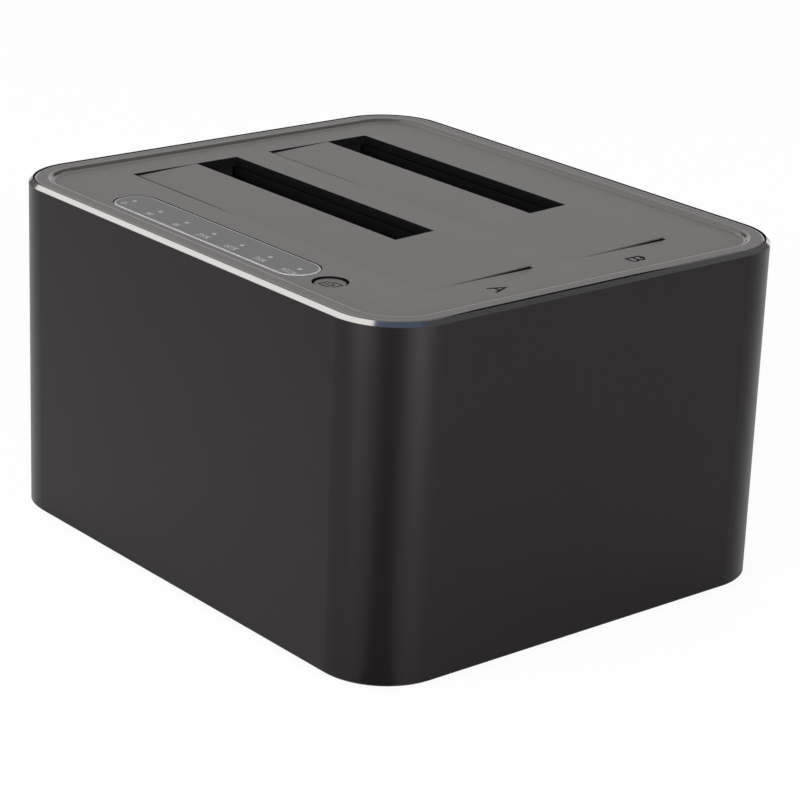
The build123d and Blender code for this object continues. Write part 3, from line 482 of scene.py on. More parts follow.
@dataclass(frozen=True)
class CircuitBoard(Finish):
    """Solder mask over a weave, with copper runs, vias and a bare glass edge."""

    low: float = 0.0
    high: float = 1.0
    mask: Colour = (0.008, 0.045, 0.028)
    copper: Colour = (0.02, 0.1, 0.055)
    edge: Colour = (0.32, 0.3, 0.16)
    run_spacing: float = 2.4 * MM
    via_spacing: float = 3.1 * MM
    thread: float = 1.2 * MM
    mask_thickness: float = 0.06 * MM

    def draw(self, graph: Graph) -> None:
        """Draws the mask, the runs under it, the vias and the cut edge."""
        cell = graph.node(
            "TexVoronoi", {"distance": "CHEBYCHEV", "feature": "DISTANCE_TO_EDGE"},
            {"Vector": graph.place(), "Scale": 1 / self.run_spacing, "Randomness": 0.35},
        )
        runs = (cell < 0.12) * (cell > 0.05)
        via = graph.cells(self.via_spacing) < 0.09
        weave = graph.node(
            "TexWave", {"bands_direction": "DIAGONAL"},
            {"Vector": graph.place(), "Scale": 1 / self.thread, "Distortion": 0.4}, "Fac",
        )
        height = graph.axis("Z")
        above = height > self.low + self.mask_thickness
        cut = above * (height < self.high - self.mask_thickness)
        tone = graph.mix(runs, self.mask, self.copper)
        tone = graph.mix(via, tone, (0.62, 0.6, 0.56))
        tone = graph.mix(cut, tone, self.edge)
        graph.surface(
            Base_Color=graph.mix(weave * 0.12, tone, (0.0, 0.01, 0.008)),
            Roughness=0.33 + cut * 0.4 - via * 0.1,
            Metallic=via * (1 - cut),
            Normal=graph.bump(runs * 0.7 + weave * 0.2 + via * 0.4, 0.03 * MM, 0.5),
        )


@dataclass(frozen=True)
class ChipPlastic(Finish):
    """Black moulded chip package with a lasered, slightly paler face."""

    def draw(self, graph: Graph) -> None:
        """Draws the moulded grain and the worn face."""
        grain = graph.noise(0.09 * MM, 3.0)
        worn = graph.noise(2.0 * MM, 3.0).ramp(0.45, 0.7)
        tone = graph.mix(grain * 0.5 + worn * 0.3, (0.012, 0.012, 0.013), (0.04, 0.04, 0.042))
        graph.surface(
            Base_Color=tone,
            Roughness=0.62 - worn * 0.12,
            Normal=graph.bump(grain, 0.006 * MM, 0.8),
        )


@dataclass(frozen=True)
class LampResin(Finish):
    """The lens of a small surface lamp: milky resin over a pale cup, unlit."""

    colour: Colour = (0.75, 0.76, 0.7)

    def draw(self, graph: Graph) -> None:
        """Draws the resin's cloud and its yellow phosphor."""
        cloud = graph.noise(0.6 * MM, 3.0)
        grain = graph.noise(0.08 * MM, 2.0)
        graph.surface(
            Base_Color=graph.mix(cloud.ramp(0.45, 0.6), self.colour, (0.8, 0.72, 0.3)),
            Roughness=0.3 + grain * 0.12,
            Normal=graph.bump(grain, 0.004 * MM, 0.5),
            Subsurface_Weight=0.2,
            Subsurface_Radius=(0.4 * MM, 0.4 * MM, 0.3 * MM),
            Subsurface_Scale=1.0,
        )


@dataclass(frozen=True)
class FlatCableFilm(Finish):
    """Pale film with its row of flat conductors showing through."""

    middle: float = 0.0
    pitch: float = 1.0 * MM

    def draw(self, graph: Graph) -> None:
        """Draws the conductors, the film's sheen and creases."""
        across = (graph.axis("X") - self.middle) * (1 / self.pitch)
        wires = across.to_and_fro(0.5).ramp(0.16, 0.22)
        crease = graph.noise(6 * MM, 3.0)
        tone = graph.mix(wires, (0.72, 0.73, 0.74), (0.5, 0.49, 0.46))
        graph.surface(
            Base_Color=graph.mix(crease * 0.2, tone, (0.6, 0.6, 0.58)),
            Roughness=0.28 + crease * 0.15,
            Normal=graph.bump(wires * 0.8 + crease * 0.2, 0.03 * MM, 0.6),
        )


@dataclass(frozen=True)
class PrintedInk(Finish):
    """Thin pad-printed ink, slightly worn, over whatever lies under it."""

    colour: Colour = (0.45, 0.45, 0.44)
    roughness: float = 0.5
    gloss: float = 0.5

    def draw(self, graph: Graph) -> None:
        """Draws the ink's grain and its worn spots."""
        grain = graph.noise(0.1 * MM, 3.0)
        worn = graph.noise(0.7 * MM, 3.0).ramp(0.58, 0.75)
        tone = graph.mix(worn * 0.3 + grain * 0.15, self.colour, scaled(self.colour, 0.6))
        graph.surface(
            Base_Color=tone,
            Roughness=self.roughness + grain * 0.1,
            Normal=graph.bump(grain, 0.003 * MM, 0.5),
            Specular_IOR_Level=self.gloss,
        )


@dataclass(frozen=True)
class PaperSweep(Finish):
    """White paper that the camera sees brighter, so that the ground runs out to white."""

    lift: float = 0.94

    def draw(self, graph: Graph) -> None:
        """Draws the paper, lit up for the camera, and clear from below to show the underside."""
        fibre = graph.noise(1.5 * MM, 3.0)
        tone = graph.mix(fibre, (0.86, 0.86, 0.86), (0.9, 0.9, 0.9))
        paper = graph.principled(Base_Color=tone, Roughness=0.9, Specular_IOR_Level=0.1)
        glow = graph.node("Emission", None, {"Color": (1.0, 1.0, 1.0), "Strength": 1.0})
        seen = graph.node("LightPath", out="Is Camera Ray")
        lifted = graph.node("MixShader", None, {0: seen * self.lift, 1: paper, 2: glow})
        below = graph.node("NewGeometry", out="Backfacing")
        clear = graph.node("BsdfTransparent")
        graph.output(graph.node("MixShader", None, {0: below, 1: lifted, 2: clear}))


@dataclass(frozen=True)
class GreyCard(Finish):
    """Matt grey card that shades the reflections in the near corner."""

    def draw(self, graph: Graph) -> None:
        """Draws the card's fibres."""
        fibre = graph.noise(0.8 * MM, 3.0)
        graph.surface(
            Base_Color=graph.mix(fibre, (0.36, 0.36, 0.365), (0.4, 0.4, 0.405)),
            Roughness=0.95 - fibre * 0.05,
            Specular_IOR_Level=0.1,
        )


class Finishes:
    """Every finish of the docking station, by the record's slots and their details."""

    ANODISED = AnodisedAluminium("anodised_sleeve")
    BRIGHT_CUT = BrightCut("bright_cut_chamfer")
    GRAINED: ClassVar[dict[str, Any]] = {
        "colour": (0.062, 0.0515, 0.0487), "roughness": 0.46, "grain": 0.36 * MM,
        "grain_depth": 0.04 * MM, "mottle": 0.3, "gloss": 0.62,
    }
    TOP = MouldedPlastic("top_plastic_grained", **GRAINED)
    RIM_STEP = MouldedPlastic("rim_step_smooth", colour=(0.055, 0.048, 0.046), roughness=0.14,
                              grain=0.42 * MM, grain_depth=0.004 * MM, gloss=0.8)
    # The rim with painted shade: a dark strip on its right edge stands for the shadow in the gap to
    # the sleeve.
    RIM_PAINTED_GAP_SHADE = PaintedGapShadePlastic("rim_painted_gap_shade", **GRAINED)
    # Painted shade: the upright cut faces of the top and the flaps, the same plastic as the top,
    # painted near black for the shade in the bays and holes.
    CUT = MouldedPlastic("bay_edge_painted_shade", colour=(0.003, 0.003, 0.003), roughness=0.8, gloss=0.05)
    BASE = MouldedPlastic("base_plastic_grained", colour=(0.03, 0.03, 0.031), roughness=0.55,
                          grain=0.5 * MM)
    WELL = MouldedPlastic("well_plastic_black", colour=(0.004, 0.004, 0.004), roughness=0.7,
                          gloss=0.08)
    SOCKET = MouldedPlastic("socket_plastic_black", colour=(0.012, 0.012, 0.013), roughness=0.42)
    BEZEL = MouldedPlastic("bezel_plastic_black", colour=(0.02, 0.02, 0.02), roughness=0.5)
    ROCKER = MouldedPlastic("rocker_plastic_satin", colour=(0.014, 0.014, 0.014), roughness=0.34,
                            grain=0.5 * MM, grain_depth=0.006 * MM)
    LENS = SmokedLens("smoked_lens_satin", colour=(0.057, 0.053, 0.052), roughness=0.46)
    # Painted highlight: the window's chamfer in the same smoked lens, much paler, for the light its
    # edge catches.
    LENS_EDGE_PAINTED_HIGHLIGHT = SmokedLens("smoked_lens_edge_painted_highlight", colour=(0.48, 0.475, 0.47), roughness=0.22)
    GUIDE = ClearPlastic("clear_light_guide")
    RUBBER = MouldedRubber("foot_rubber")
    SCREW = Metal("screw_black_zinc", colour=(0.16, 0.16, 0.165), roughness=0.32, stain=(0.08,
                  0.08, 0.08))
    PIN = Metal("pin_ground_steel", colour=(0.62, 0.62, 0.61), roughness=0.2, along=(0.1, 1.0, 1.0))
    SPRING = Metal("spring_music_wire", colour=(0.42, 0.42, 0.43), roughness=0.28, along=(1.0,
                   1.0, 1.0))
    CONTACT = Metal("contact_gold_flash", colour=(0.83, 0.62, 0.28), roughness=0.22,
                    stain=(0.6, 0.42, 0.18))
    POST = Metal("post_drawn_aluminium", colour=(0.62, 0.62, 0.63), roughness=0.34, along=(1.0,
                 1.0, 0.1))
    CAN = Metal("can_brushed", colour=(0.72, 0.72, 0.73), roughness=0.28)
    SHELL = Metal("port_shell_nickel", colour=(0.66, 0.65, 0.62), roughness=0.24, along=(0.1,
                  1.0, 1.0))
    TACT = Metal("tact_cover_tin", colour=(0.6, 0.6, 0.6), roughness=0.34)
    CHIP = ChipPlastic("chip_package")
    LAMP = LampResin("lamp_resin")
    PALE_INK = PrintedInk("window_print_pale", colour=(0.3, 0.295, 0.29), roughness=0.35)
    # Painted highlight: the pale line round the window stands for the light along its edge.
    EDGE_PAINTED_HIGHLIGHT = PrintedInk("window_edge_painted_highlight", colour=(0.36, 0.355, 0.35), roughness=0.35)
    # Painted shade: the dark strokes of the bay letters and the button's sign stand for the shade in
    # their engraving.
    DARK_ENGRAVING_SHADE = PrintedInk("mark_painted_engraving_shade", colour=(0.008, 0.007, 0.007), roughness=0.85, gloss=0.05)
    WHITE_INK = PrintedInk("switch_print_white", colour=(0.55, 0.55, 0.55))


# Mesh building


class MeshBuilder:
    """Collects points and faces in the frame's metres and makes one mesh object of them."""

    mitre_limit: ClassVar[float] = 0.4

    def __init__(self) -> None:
        """Starts empty."""
        self.points: list[Vector] = []
        self.faces: list[tuple[int, ...]] = []

    def add(self, points: Iterable[Vector], faces: Iterable[Sequence[int]]) -> None:
        """Adds a set of points and the faces on them.

        Args:
            points: The new points.
            faces: Faces by index into the new points.
        """
        first = len(self.points)
        self.points.extend(points)
        self.faces.extend(tuple(first + i for i in face) for face in faces)

    def rings(self, rings: Sequence[Sequence[Vector]], capped: bool = True) -> None:
        """Skins a row of closed rings that have equally many points.

        Args:
            rings: The rings, in order.
            capped: Whether both ends are closed by a face.
        """
        count = len(rings[0])
        faces: list[Sequence[int]] = []
        for ring in range(len(rings) - 1):
            for side in range(count):
                a, b = ring * count + side, ring * count + (side + 1) % count
                faces.append((a, b, b + count, a + count))
        if capped:
            last = (len(rings) - 1) * count
            faces.append(tuple(reversed(range(count))))
            faces.append(tuple(range(last, last + count)))
        self.add([p for ring in rings for p in ring], faces)

    def lathe(
        self,
        profile: Sequence[Point],
        place: Matrix,
        sides: int = 32,
        shape: Callable[[float, float, float], Point] | None = None,
    ) -> None:
        """Turns a profile about the local Z axis.

        Args:
            profile: Radius and height of each ring, from one end to the other.
            place: Where the turned form goes.
            sides: The number of flats round it.
            shape: Changes a ring point, from its angle, radius and height to a new radius
                and height.
        """
        rings = []
        for radius, height in profile:
            ring = []
            for side in range(sides):
                angle = math.tau * side / sides
                r, h = shape(angle, radius, height) if shape else (radius, height)
                ring.append(place @ Vector((r * math.cos(angle), r * math.sin(angle), h)))
            rings.append(ring)
        self.rings(rings)

    def tube(self, path: Sequence[Vector], radius: float, sides: int = 10) -> None:
        """Runs a round section along a path.

        Args:
            path: The points of the middle line.
            radius: The section's radius.
            sides: The number of flats round it.
        """
        normal = Vector((1.0, 0.0, 0.0))
        rings = []
        for i, point in enumerate(path):
            heading = (path[min(i + 1, len(path) - 1)] - path[max(i - 1, 0)]).normalized()
            normal = (normal - heading * normal.dot(heading)).normalized()
            side = heading.cross(normal)
            rings.append([
                point + (normal * math.cos(t) + side * math.sin(t)) * radius
                for t in (math.tau * k / sides for k in range(sides))
            ])
        self.rings(rings)

    def slab(self, outline: Sequence[Vector], up: Vector) -> None:
        """Raises a flat outline into a slab.

        Args:
            outline: The lower face's points, in order.
            up: From the lower face to the upper one.
        """
        self.rings([list(outline), [p + up for p in outline]])

    def block(self, low: Sequence[float], high: Sequence[float]) -> None:
        """A block between two opposite corners."""
        (x0, y0, z0), (x1, y1, z1) = low, high
        outline = [Vector((x, y, z0)) for x, y in ((x0, y0), (x1, y0), (x1, y1), (x0, y1))]
        self.slab(outline, Vector((0.0, 0.0, z1 - z0)))

    def stroke(self, line: Sequence[Point], width: float, place: Matrix, thickness: float) -> None:
        """Draws a line of even width as a thin raised strip.

        Args:
            line: The points of its middle, closed where the last equals the first.
            width: The strip's width.
            place: Carries the line's plane into the frame.
            thickness: The height that the strip stands off the plane.
        """
        closed = line[0] == line[-1]
        points = [Vector(p) for p in (line[:-1] if closed else line)]
        left, right = [], []
        count = len(points)
        for i, point in enumerate(points):
            before = (point - points[i - 1]).normalized() if closed or i else None
            after = (points[(i + 1) % count] - point).normalized() if closed or i < count - 1 else None
            before, after = before or after, after or before
            heading = (before + after).normalized()
            side = Vector((-heading.y, heading.x))
            reach = width / 2 / max(self.mitre_limit, side.dot(Vector((-after.y, after.x))))
            end = Vector((0.0, 0.0))
            if not closed and i == 0:
                end = -heading * width / 2
            elif not closed and i == count - 1:
                end = heading * width / 2
            left.append(point + side * reach + end)
            right.append(point - side * reach + end)
        pieces = count if closed else count - 1
        up = Vector((0.0, 0.0, thickness))
        for i in range(pieces):
            j = (i + 1) % count
            lower = [Vector((p.x, p.y, 0.0)) for p in (right[i], right[j], left[j], left[i])]
            self.rings([[place @ p for p in lower], [place @ (p + up) for p in lower]])

    def build(self, name: str, finish: Finish, angle: float = 35.0) -> bpy.types.Object:
        """Makes the mesh object.

        Args:
            name: The piece's name.
            finish: Its finish.
            angle: Edges sharper than this many degrees stay sharp.

        Returns:
            The new object.
        """
        mesh = bpy.data.meshes.new(name)
        mesh.from_pydata([tuple(p) for p in self.points], [], self.faces)
        mesh.validate()
        mesh.shade_smooth()
        mesh.set_sharp_from_angle(angle=math.radians(angle))
        mesh.materials.append(finish.material())
        made = bpy.data.objects.new(name, mesh)
        bpy.context.scene.collection.objects.link(made)
        return made


# Glyphs, as lines in a box one unit high


def arc(x: float, y: float, radius: float, start: float, end: float, steps: int = 10) -> list[Point]:
    """Points on an arc.

    Args:
        x: The centre's first coordinate.
        y: The centre's second coordinate.
        radius: The arc's radius.
        start: The first angle, in degrees.
        end: The last angle, in degrees.
        steps: The number of pieces.

    Returns:
        The points, from start to end.
    """
    angles = (math.radians(start + (end - start) * i / steps) for i in range(steps + 1))
    return [(x + radius * math.cos(a), y + radius * math.sin(a)) for a in angles]


@dataclass(frozen=True)
class Glyph:
    """One drawn sign: its lines in a box one unit high, and its width."""

    lines: tuple[tuple[Point, ...], ...]
    width: float


def glyph(width: float, *lines: Iterable[Point]) -> Glyph:
    """A glyph of that width from its lines."""
    return Glyph(tuple(tuple(line) for line in lines), width)


GLYPHS: dict[str, Glyph] = {
    "0": glyph(0.6, [*arc(0.3, 0.72, 0.28, 0, 180), *arc(0.3, 0.28, 0.28, 180, 360), (0.58, 0.72)]),
    "1": glyph(0.4, [(0.02, 0.78), (0.26, 1.0), (0.26, 0.0)]),
    "2": glyph(0.6, [*arc(0.3, 0.7, 0.28, 165, -20), (0.02, 0.0), (0.6, 0.0)]),
    "5": glyph(0.6, [(0.54, 1.0), (0.1, 1.0), (0.05, 0.56), *arc(0.28, 0.32, 0.3, 110, -160)]),
    "7": glyph(0.6, [(0.02, 1.0), (0.58, 1.0), (0.22, 0.0)]),
    "%": glyph(
        0.9,
        arc(0.2, 0.78, 0.18, 0, 360),
        [(0.74, 1.0), (0.16, 0.0)],
        arc(0.7, 0.22, 0.18, 0, 360),
    ),
    "A": glyph(0.76, [(0.0, 0.0), (0.38, 1.0), (0.76, 0.0)], [(0.14, 0.36), (0.62, 0.36)]),
    "B": glyph(
        0.7,
        [(0.0, 0.0), (0.0, 1.0), (0.42, 1.0), *arc(0.42, 0.76, 0.24, 90, -90), (0.0, 0.52)],
        [(0.42, 0.52), *arc(0.42, 0.26, 0.26, 90, -90), (0.0, 0.0)],
    ),
    "O": glyph(1.0, arc(0.5, 0.5, 0.42, 0, 360, 24)),
    "I": glyph(0.2, [(0.1, 0.08), (0.1, 0.92)]),
    "power": glyph(1.0, arc(0.5, 0.46, 0.4, 125, 415, 16), [(0.5, 0.5), (0.5, 1.0)]),
    "drive": glyph(
        1.1,
        [(0.0, 0.15), (1.1, 0.15), (1.1, 0.85), (0.0, 0.85), (0.0, 0.15)],
        arc(0.4, 0.5, 0.22, 0, 360),
        [(0.78, 0.3), (0.95, 0.3)],
    ),
    "copy": glyph(
        1.15,
        [(0.0, 0.0), (0.78, 0.0), (0.78, 0.68), (0.0, 0.68), (0.0, 0.0)],
        [(0.36, 0.86), (0.36, 1.0), (1.14, 1.0), (1.14, 0.32), (0.96, 0.32)],
        [(0.2, 0.34), (0.58, 0.34)],
    ),
}


@dataclass(frozen=True)
class Legend:
    """A short row of glyphs that lies on a flat face."""

    glyphs: tuple[str, ...]
    height: float
    line: float
    gap: float = 0.24

    def draw(self, builder: MeshBuilder, place: Matrix, thickness: float) -> None:
        """Draws the row, centred on the place's origin.

        Args:
            builder: The mesh that takes the strokes.
            place: Carries the legend's plane into the frame.
            thickness: How far the strokes stand off the face.
        """
        signs = [GLYPHS[name] for name in self.glyphs]
        total = sum(sign.width for sign in signs) + self.gap * (len(signs) - 1)
        x = -total / 2
        for sign in signs:
            for line in sign.lines:
                points = [((x + u) * self.height, (v - 0.5) * self.height) for u, v in line]
                builder.stroke(points, self.line, place, thickness)
            x += sign.width + self.gap


# Carried-over CAD nodes and new pieces


def dress(finish: Finish, *nodes: str) -> None:
    """Gives CAD nodes their finish.

    Args:
        finish: The finish for all their faces.
        nodes: The CAD nodes' names.
    """
    for node in nodes:
        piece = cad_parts[node]
        piece.data.materials.clear()
        piece.data.materials.append(finish.material())
        LOG.info("dressed %s in %s", node, finish.name)


def dress_faces(node: str, finish: Finish, chosen: Callable[[bpy.types.MeshPolygon], bool]) -> None:
    """Gives the chosen faces of a dressed CAD node a second finish.

    Args:
        node: The CAD node's name.
        finish: The finish for the chosen faces.
        chosen: Says which faces take it.
    """
    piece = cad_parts[node]
    slot = len(piece.data.materials)
    piece.data.materials.append(finish.material())
    count = 0
    for face in piece.data.polygons:
        if chosen(face):
            face.material_index = slot
            count += 1
    LOG.info("dressed %d faces of %s in %s", count, node, finish.name)


def seat(piece: bpy.types.Object, body: str, slot: str, *nodes: str) -> None:
    """Lets a new piece ride on a body and stand for CAD nodes.

    Args:
        piece: The new piece.
        body: The CAD body that it moves with.
        slot: Not used. It names the record's material slot that its finish belongs to.
        nodes: The CAD nodes that it stands for.
    """
    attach(piece, body)
    if nodes:
        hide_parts(*nodes)
    LOG.info("built %s on %s", piece.name, body)


class Facing(Enum):
    """Which way a screw's head looks."""

    UP = 1
    DOWN = -1


@dataclass(frozen=True)
class Screw:
    """A pan-head screw with a cross recess and a rolled thread."""

    radius: float
    length: float
    head_radius: float
    head_height: float
    pitch: float = 0.6 * MM
    recess_depth: float = 0.8 * MM
    arm_share: float = 0.16
    recess_share: float = 0.62
    edge_share: float = 0.35
    crown_share: float = 0.65
    bulge: float = 0.75
    neck_share: float = 0.9
    root_share: float = 0.8
    tip_share: float = 0.45
    thread_shares: Point = (0.25, 0.6)
    crown_steps: int = 14
    crown_tip: float = 0.02 * MM
    head_sides: int = 48
    shank_sides: int = 20

    def _head_point(self, angle: float, radius: float, height: float) -> Point:
        """Sinks the cross recess into the head's crown.

        Args:
            angle: The ring point's angle.
            radius: Its radius.
            height: Its height over the seat.

        Returns:
            The radius and the new height.
        """
        if height < self.head_height * 0.5:
            return radius, height
        x, y = radius * math.cos(angle), radius * math.sin(angle)
        off, reach = sorted((abs(x), abs(y)))
        limit = self.head_radius * self.recess_share
        inside = off < self.head_radius * self.arm_share and reach < limit
        depth = self.recess_depth * max(0.0, 1.0 - reach / limit) ** 0.5
        return radius, height - (depth if inside else 0.0)

    def add(self, builder: MeshBuilder, spot: Sequence[float], facing: Facing) -> None:
        """Adds one screw whose head seats at a point.

        Args:
            builder: The mesh that takes it.
            spot: Where the head's underside seats.
            facing: Which way the head looks.
        """
        place = Matrix.Translation(Vector(spot))
        if facing is Facing.DOWN:
            place = place @ Matrix.Rotation(math.pi, 4, "X")
        crown = []
        for i in range(self.crown_steps + 1):
            share = i / self.crown_steps
            radius = self.head_radius * (1 - share) + self.crown_tip * share
            dome = math.sqrt(max(0.0, 1 - (radius / self.head_radius) ** 2 * self.bulge))
            rise = self.edge_share + self.crown_share * (dome - 0.5) / 0.5
            crown.append((radius, self.head_height * rise))
        head = [(self.radius, 0.0), (self.head_radius, 0.0), *crown]
        builder.lathe(head, place, self.head_sides, self._head_point)
        threads = max(2, int(self.length / self.pitch))
        step = self.length / threads
        root, crest = self.thread_shares
        shank = [(self.radius * self.neck_share, 0.0)]
        for i in range(threads):
            z = -self.length * i / threads
            shank.append((self.radius * self.root_share, z - step * root))
            shank.append((self.radius, z - step * crest))
        shank.append((self.radius * self.tip_share, -self.length))
        builder.lathe(shank, place, self.shank_sides)


HOUSING_SCREW = Screw(radius=1.5 * MM, length=12.0 * MM, head_radius=2.75 * MM, head_height=1.6 * MM)
SMALL_SCREW = Screw(
    radius=1.0 * MM, length=5.5 * MM, head_radius=1.9 * MM, head_height=1.3 * MM, pitch=0.45 * MM,
    recess_depth=0.6 * MM,
)


def drive_screws(
    name: str, node: str, screw: Screw, spots: Iterable[Sequence[float]], facing: Facing
) -> None:
    """Makes the screws that stand for one CAD node.

    Args:
        name: The new piece's name.
        node: The CAD node.
        screw: The kind of screw.
        spots: Where each head seats.
        facing: Which way the heads look.
    """
    builder = MeshBuilder()
    for spot in spots:
        screw.add(builder, spot, facing)
    seat(builder.build(name, Finishes.SCREW), "housing", "screw_steel", node)


# The sub-assemblies


@dataclass
class Housing:
    """Sleeve, base, top, spacer posts, feet and the screws that hold them together."""

    chamfer: float = 0.85 * MM
    letter_height: float = 3.55 * MM
    letter_line: float = 0.54 * MM
    letter_rise: float = 0.015 * MM
    letter_x: float = 56.65 * MM
    rim_outer: float = 66.0 * MM
    rim_inner: float = 63.6 * MM
    step_foot: float = 0.02 * MM
    rim_foot: float = 0.5 * MM
    panel: tuple[Point, Point] = ((-40.0 * MM, 39.0 * MM), (-50.0 * MM, -38.4 * MM))
    bay_x: Point = (-53.38 * MM, 49.82 * MM)
    bay_near: float = 0.05 * MM
    bay_ys: tuple[Point, Point] = ((-31.97 * MM, -3.04 * MM), (6.06 * MM, 34.99 * MM))
    letters_at: tuple[tuple[str, float], ...] = (("A", -18.5 * MM), ("B", 19.5 * MM))
    face_z: float = 77.2 * MM
    post_x: float = 58.0 * MM
    post_y: float = 47.3 * MM
    screw_seat: float = 3.4 * MM

    def build(self) -> None:
        """Dresses the housing and adds its letters and screws."""
        dress(Finishes.ANODISED, "sleeve")
        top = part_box("sleeve")[1].z
        dress_faces(
            "sleeve", Finishes.BRIGHT_CUT,
            lambda face: face.center.z > top - self.chamfer and SLOPED[0] < face.normal.z < SLOPED[1],
        )
        dress(Finishes.BASE, "base_plate")
        dress(Finishes.TOP, "top_plate")
        # Painted shade on the upright faces round the bays and round the window's and button's holes.
        dress_faces("top_plate", Finishes.CUT, self.in_bay)
        dress_faces("top_plate", Finishes.CUT, self.in_panel)
        dress_faces("top_plate", Finishes.RIM_STEP, self.on_step)
        # Painted shade: a dark strip along the rim's right edge for the shadow in the gap to the
        # sleeve.
        dress_faces("top_plate", Finishes.RIM_PAINTED_GAP_SHADE, self.on_painted_gap_shade)
        dress(Finishes.POST, "spacer_posts")
        places = ("front_left", "front_right", "rear_right", "rear_left")
        dress(Finishes.RUBBER, *(f"foot_{place}" for place in places))
        self.letters()
        self.screws()

    def in_bay(self, face: bpy.types.MeshPolygon) -> bool:
        """Whether a face of the top is part of a bay's upright cut edge."""
        near = self.bay_near
        inside = self.bay_x[0] - near < face.center.x < self.bay_x[1] + near
        deep = any(y0 - near < face.center.y < y1 + near for y0, y1 in self.bay_ys)
        return inside and deep and abs(face.normal.z) < UPRIGHT

    def on_step(self, face: bpy.types.MeshPolygon) -> bool:
        """Whether a face of the top is part of the soft step from the rim down to the dish."""
        inside = abs(face.center.x) < self.rim_inner and abs(face.center.y) < self.rim_inner
        over = face.center.z > self.face_z + self.step_foot
        return inside and over and SLOPED[0] < face.normal.z < LEVEL

    def on_painted_gap_shade(self, face: bpy.types.MeshPolygon) -> bool:
        """Whether a face of the top is part of the rim's flat or of its outer edge on the right, which
        take the painted gap shade.
        """
        flat = face.normal.z > LEVEL and face.center.z > self.face_z + self.rim_foot
        outer = face.center.x > self.rim_outer and face.center.z > self.face_z
        return flat or (outer and face.normal.z > UPRIGHT)

    def in_panel(self, face: bpy.types.MeshPolygon) -> bool:
        """Whether a face of the top stands round the window's or the button's hole."""
        (x0, x1), (y0, y1) = self.panel
        return x0 < face.center.x < x1 and y0 < face.center.y < y1 and abs(face.normal.z) < UPRIGHT

    def letters(self) -> None:
        """The letters of the two bays on the dished face, drawn as thin dark strokes: painted shade
        for the shade in their engraving.
        """
        for name, y in self.letters_at:
            builder = MeshBuilder()
            place = Matrix.Translation(Vector((self.letter_x, y, self.face_z)))
            legend = Legend((name,), self.letter_height, self.letter_line)
            legend.draw(builder, place, self.letter_rise)
            seat(builder.build(f"letter_{name.lower()}", Finishes.DARK_ENGRAVING_SHADE), "housing", "top_plastic")

    def screws(self) -> None:
        """The four screws up through the base."""
        spots = [(x, y, self.screw_seat)
                 for x in (-self.post_x, self.post_x) for y in (-self.post_y, self.post_y)]
        drive_screws("housing_screw_set", "housing_screws", HOUSING_SCREW, spots, Facing.DOWN)


@dataclass
class FlapBay:
    """One bay's flap with its hinge bar, pin and torsion spring."""

    bay: str
    hinge_y: float
    hinge_z: float = 72.9 * MM
    spring_start: float = -38.58 * MM
    wire: float = 0.25 * MM
    coil: float = 1.15 * MM
    pitch: float = 1.0 * MM
    fixed_slope: float = 11.72
    moving_slope: float = 9.08
    turns: int = 3
    turn_steps: int = 44
    wire_sides: int = 12
    lip: float = 2.6 * MM
    # Painted shade along the flap's front edge: its widest width, where it is darkest and how far it
    # runs.
    painted_gap_shade: float = 0.42 * MM
    painted_gap_shade_start: float = -52.0 * MM
    painted_gap_shade_reach: float = 46.0 * MM
    fixed_leg: float = 3.2 * MM
    moving_leg: float = 6.0 * MM

    def build(self) -> None:
        """Dresses the flap and its hinge, and winds the spring."""
        # The flap's top carries painted shade: a dark strip along its front edge stands for the shadow
        # in the gap before it.
        grained = PaintedGapShadePlastic(
            f"flap_{self.bay}_grained", **Finishes.GRAINED, across="Y", along="X", inward=1.0,
            edge=self.hinge_y + self.lip, width=self.painted_gap_shade, shade=(0.006, 0.006, 0.006),
            darkest=self.painted_gap_shade_start, reach=self.painted_gap_shade_reach,
        )
        dress(grained, f"flap_{self.bay}")
        # Painted shade on the flap's upright faces.
        dress_faces(f"flap_{self.bay}", Finishes.CUT, lambda face: face.normal.z < UPRIGHT)
        dress(Finishes.WELL, f"hinge_bar_{self.bay}")
        dress(Finishes.PIN, f"hinge_pin_{self.bay}")
        self.spring()

    def _coil_point(self, turned: float) -> Vector:
        """A point of the coil, after that many degrees of wire."""
        angle = math.radians(90 - self.fixed_slope - turned)
        return Vector((
            self.spring_start + self.pitch * turned / 360,
            self.hinge_y + self.coil * math.cos(angle),
            self.hinge_z + self.coil * math.sin(angle),
        ))

    def spring(self) -> None:
        """Winds the round wire: a leg under the top, the coil, and a leg under the flap."""
        total = 360 * self.turns - self.fixed_slope - self.moving_slope
        steps = self.turn_steps * self.turns
        coil = [self._coil_point(total * i / steps) for i in range(steps + 1)]
        first, last = (coil[0] - coil[1]).normalized(), (coil[-1] - coil[-2]).normalized()
        path = [
            coil[0] + first * self.fixed_leg, coil[0] + first * self.fixed_leg / 2, *coil,
            coil[-1] + last * self.moving_leg / 2, coil[-1] + last * self.moving_leg,
        ]
        builder = MeshBuilder()
        builder.tube(path, self.wire, self.wire_sides)
        name = f"flap_spring_{self.bay}"
        piece = builder.build(f"{name}_wound", Finishes.SPRING)
        end = (self.spring_start + self.pitch * total / 360, self.hinge_y, self.hinge_z)
        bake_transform(piece)
        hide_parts(name)
        LOG.info("wound %s", piece.name)


@dataclass
class DriveBay:
    """One drive well with its socket and contacts."""

    bay: str

    def build(self) -> None:
        """Dresses the well, its socket and the socket's contacts."""
        dress(Finishes.WELL, f"drive_well_{self.bay}")
        dress(Finishes.SOCKET, f"drive_socket_{self.bay}")
        dress(Finishes.CONTACT, f"socket_contacts_{self.bay}")


@dataclass
class WellScrews:
    """The screws down through both wells' ears."""

    xs: tuple[float, float] = (-59.98 * MM, 56.42 * MM)
    ys: tuple[float, float] = (-17.805 * MM, 20.225 * MM)
    seat_z: float = 17.0 * MM

    def build(self) -> None:
        """Adds the four screws."""
        spots = [(x, y, self.seat_z) for y in self.ys for x in self.xs]
        drive_screws("well_screw_set", "well_screws", SMALL_SCREW, spots, Facing.UP)


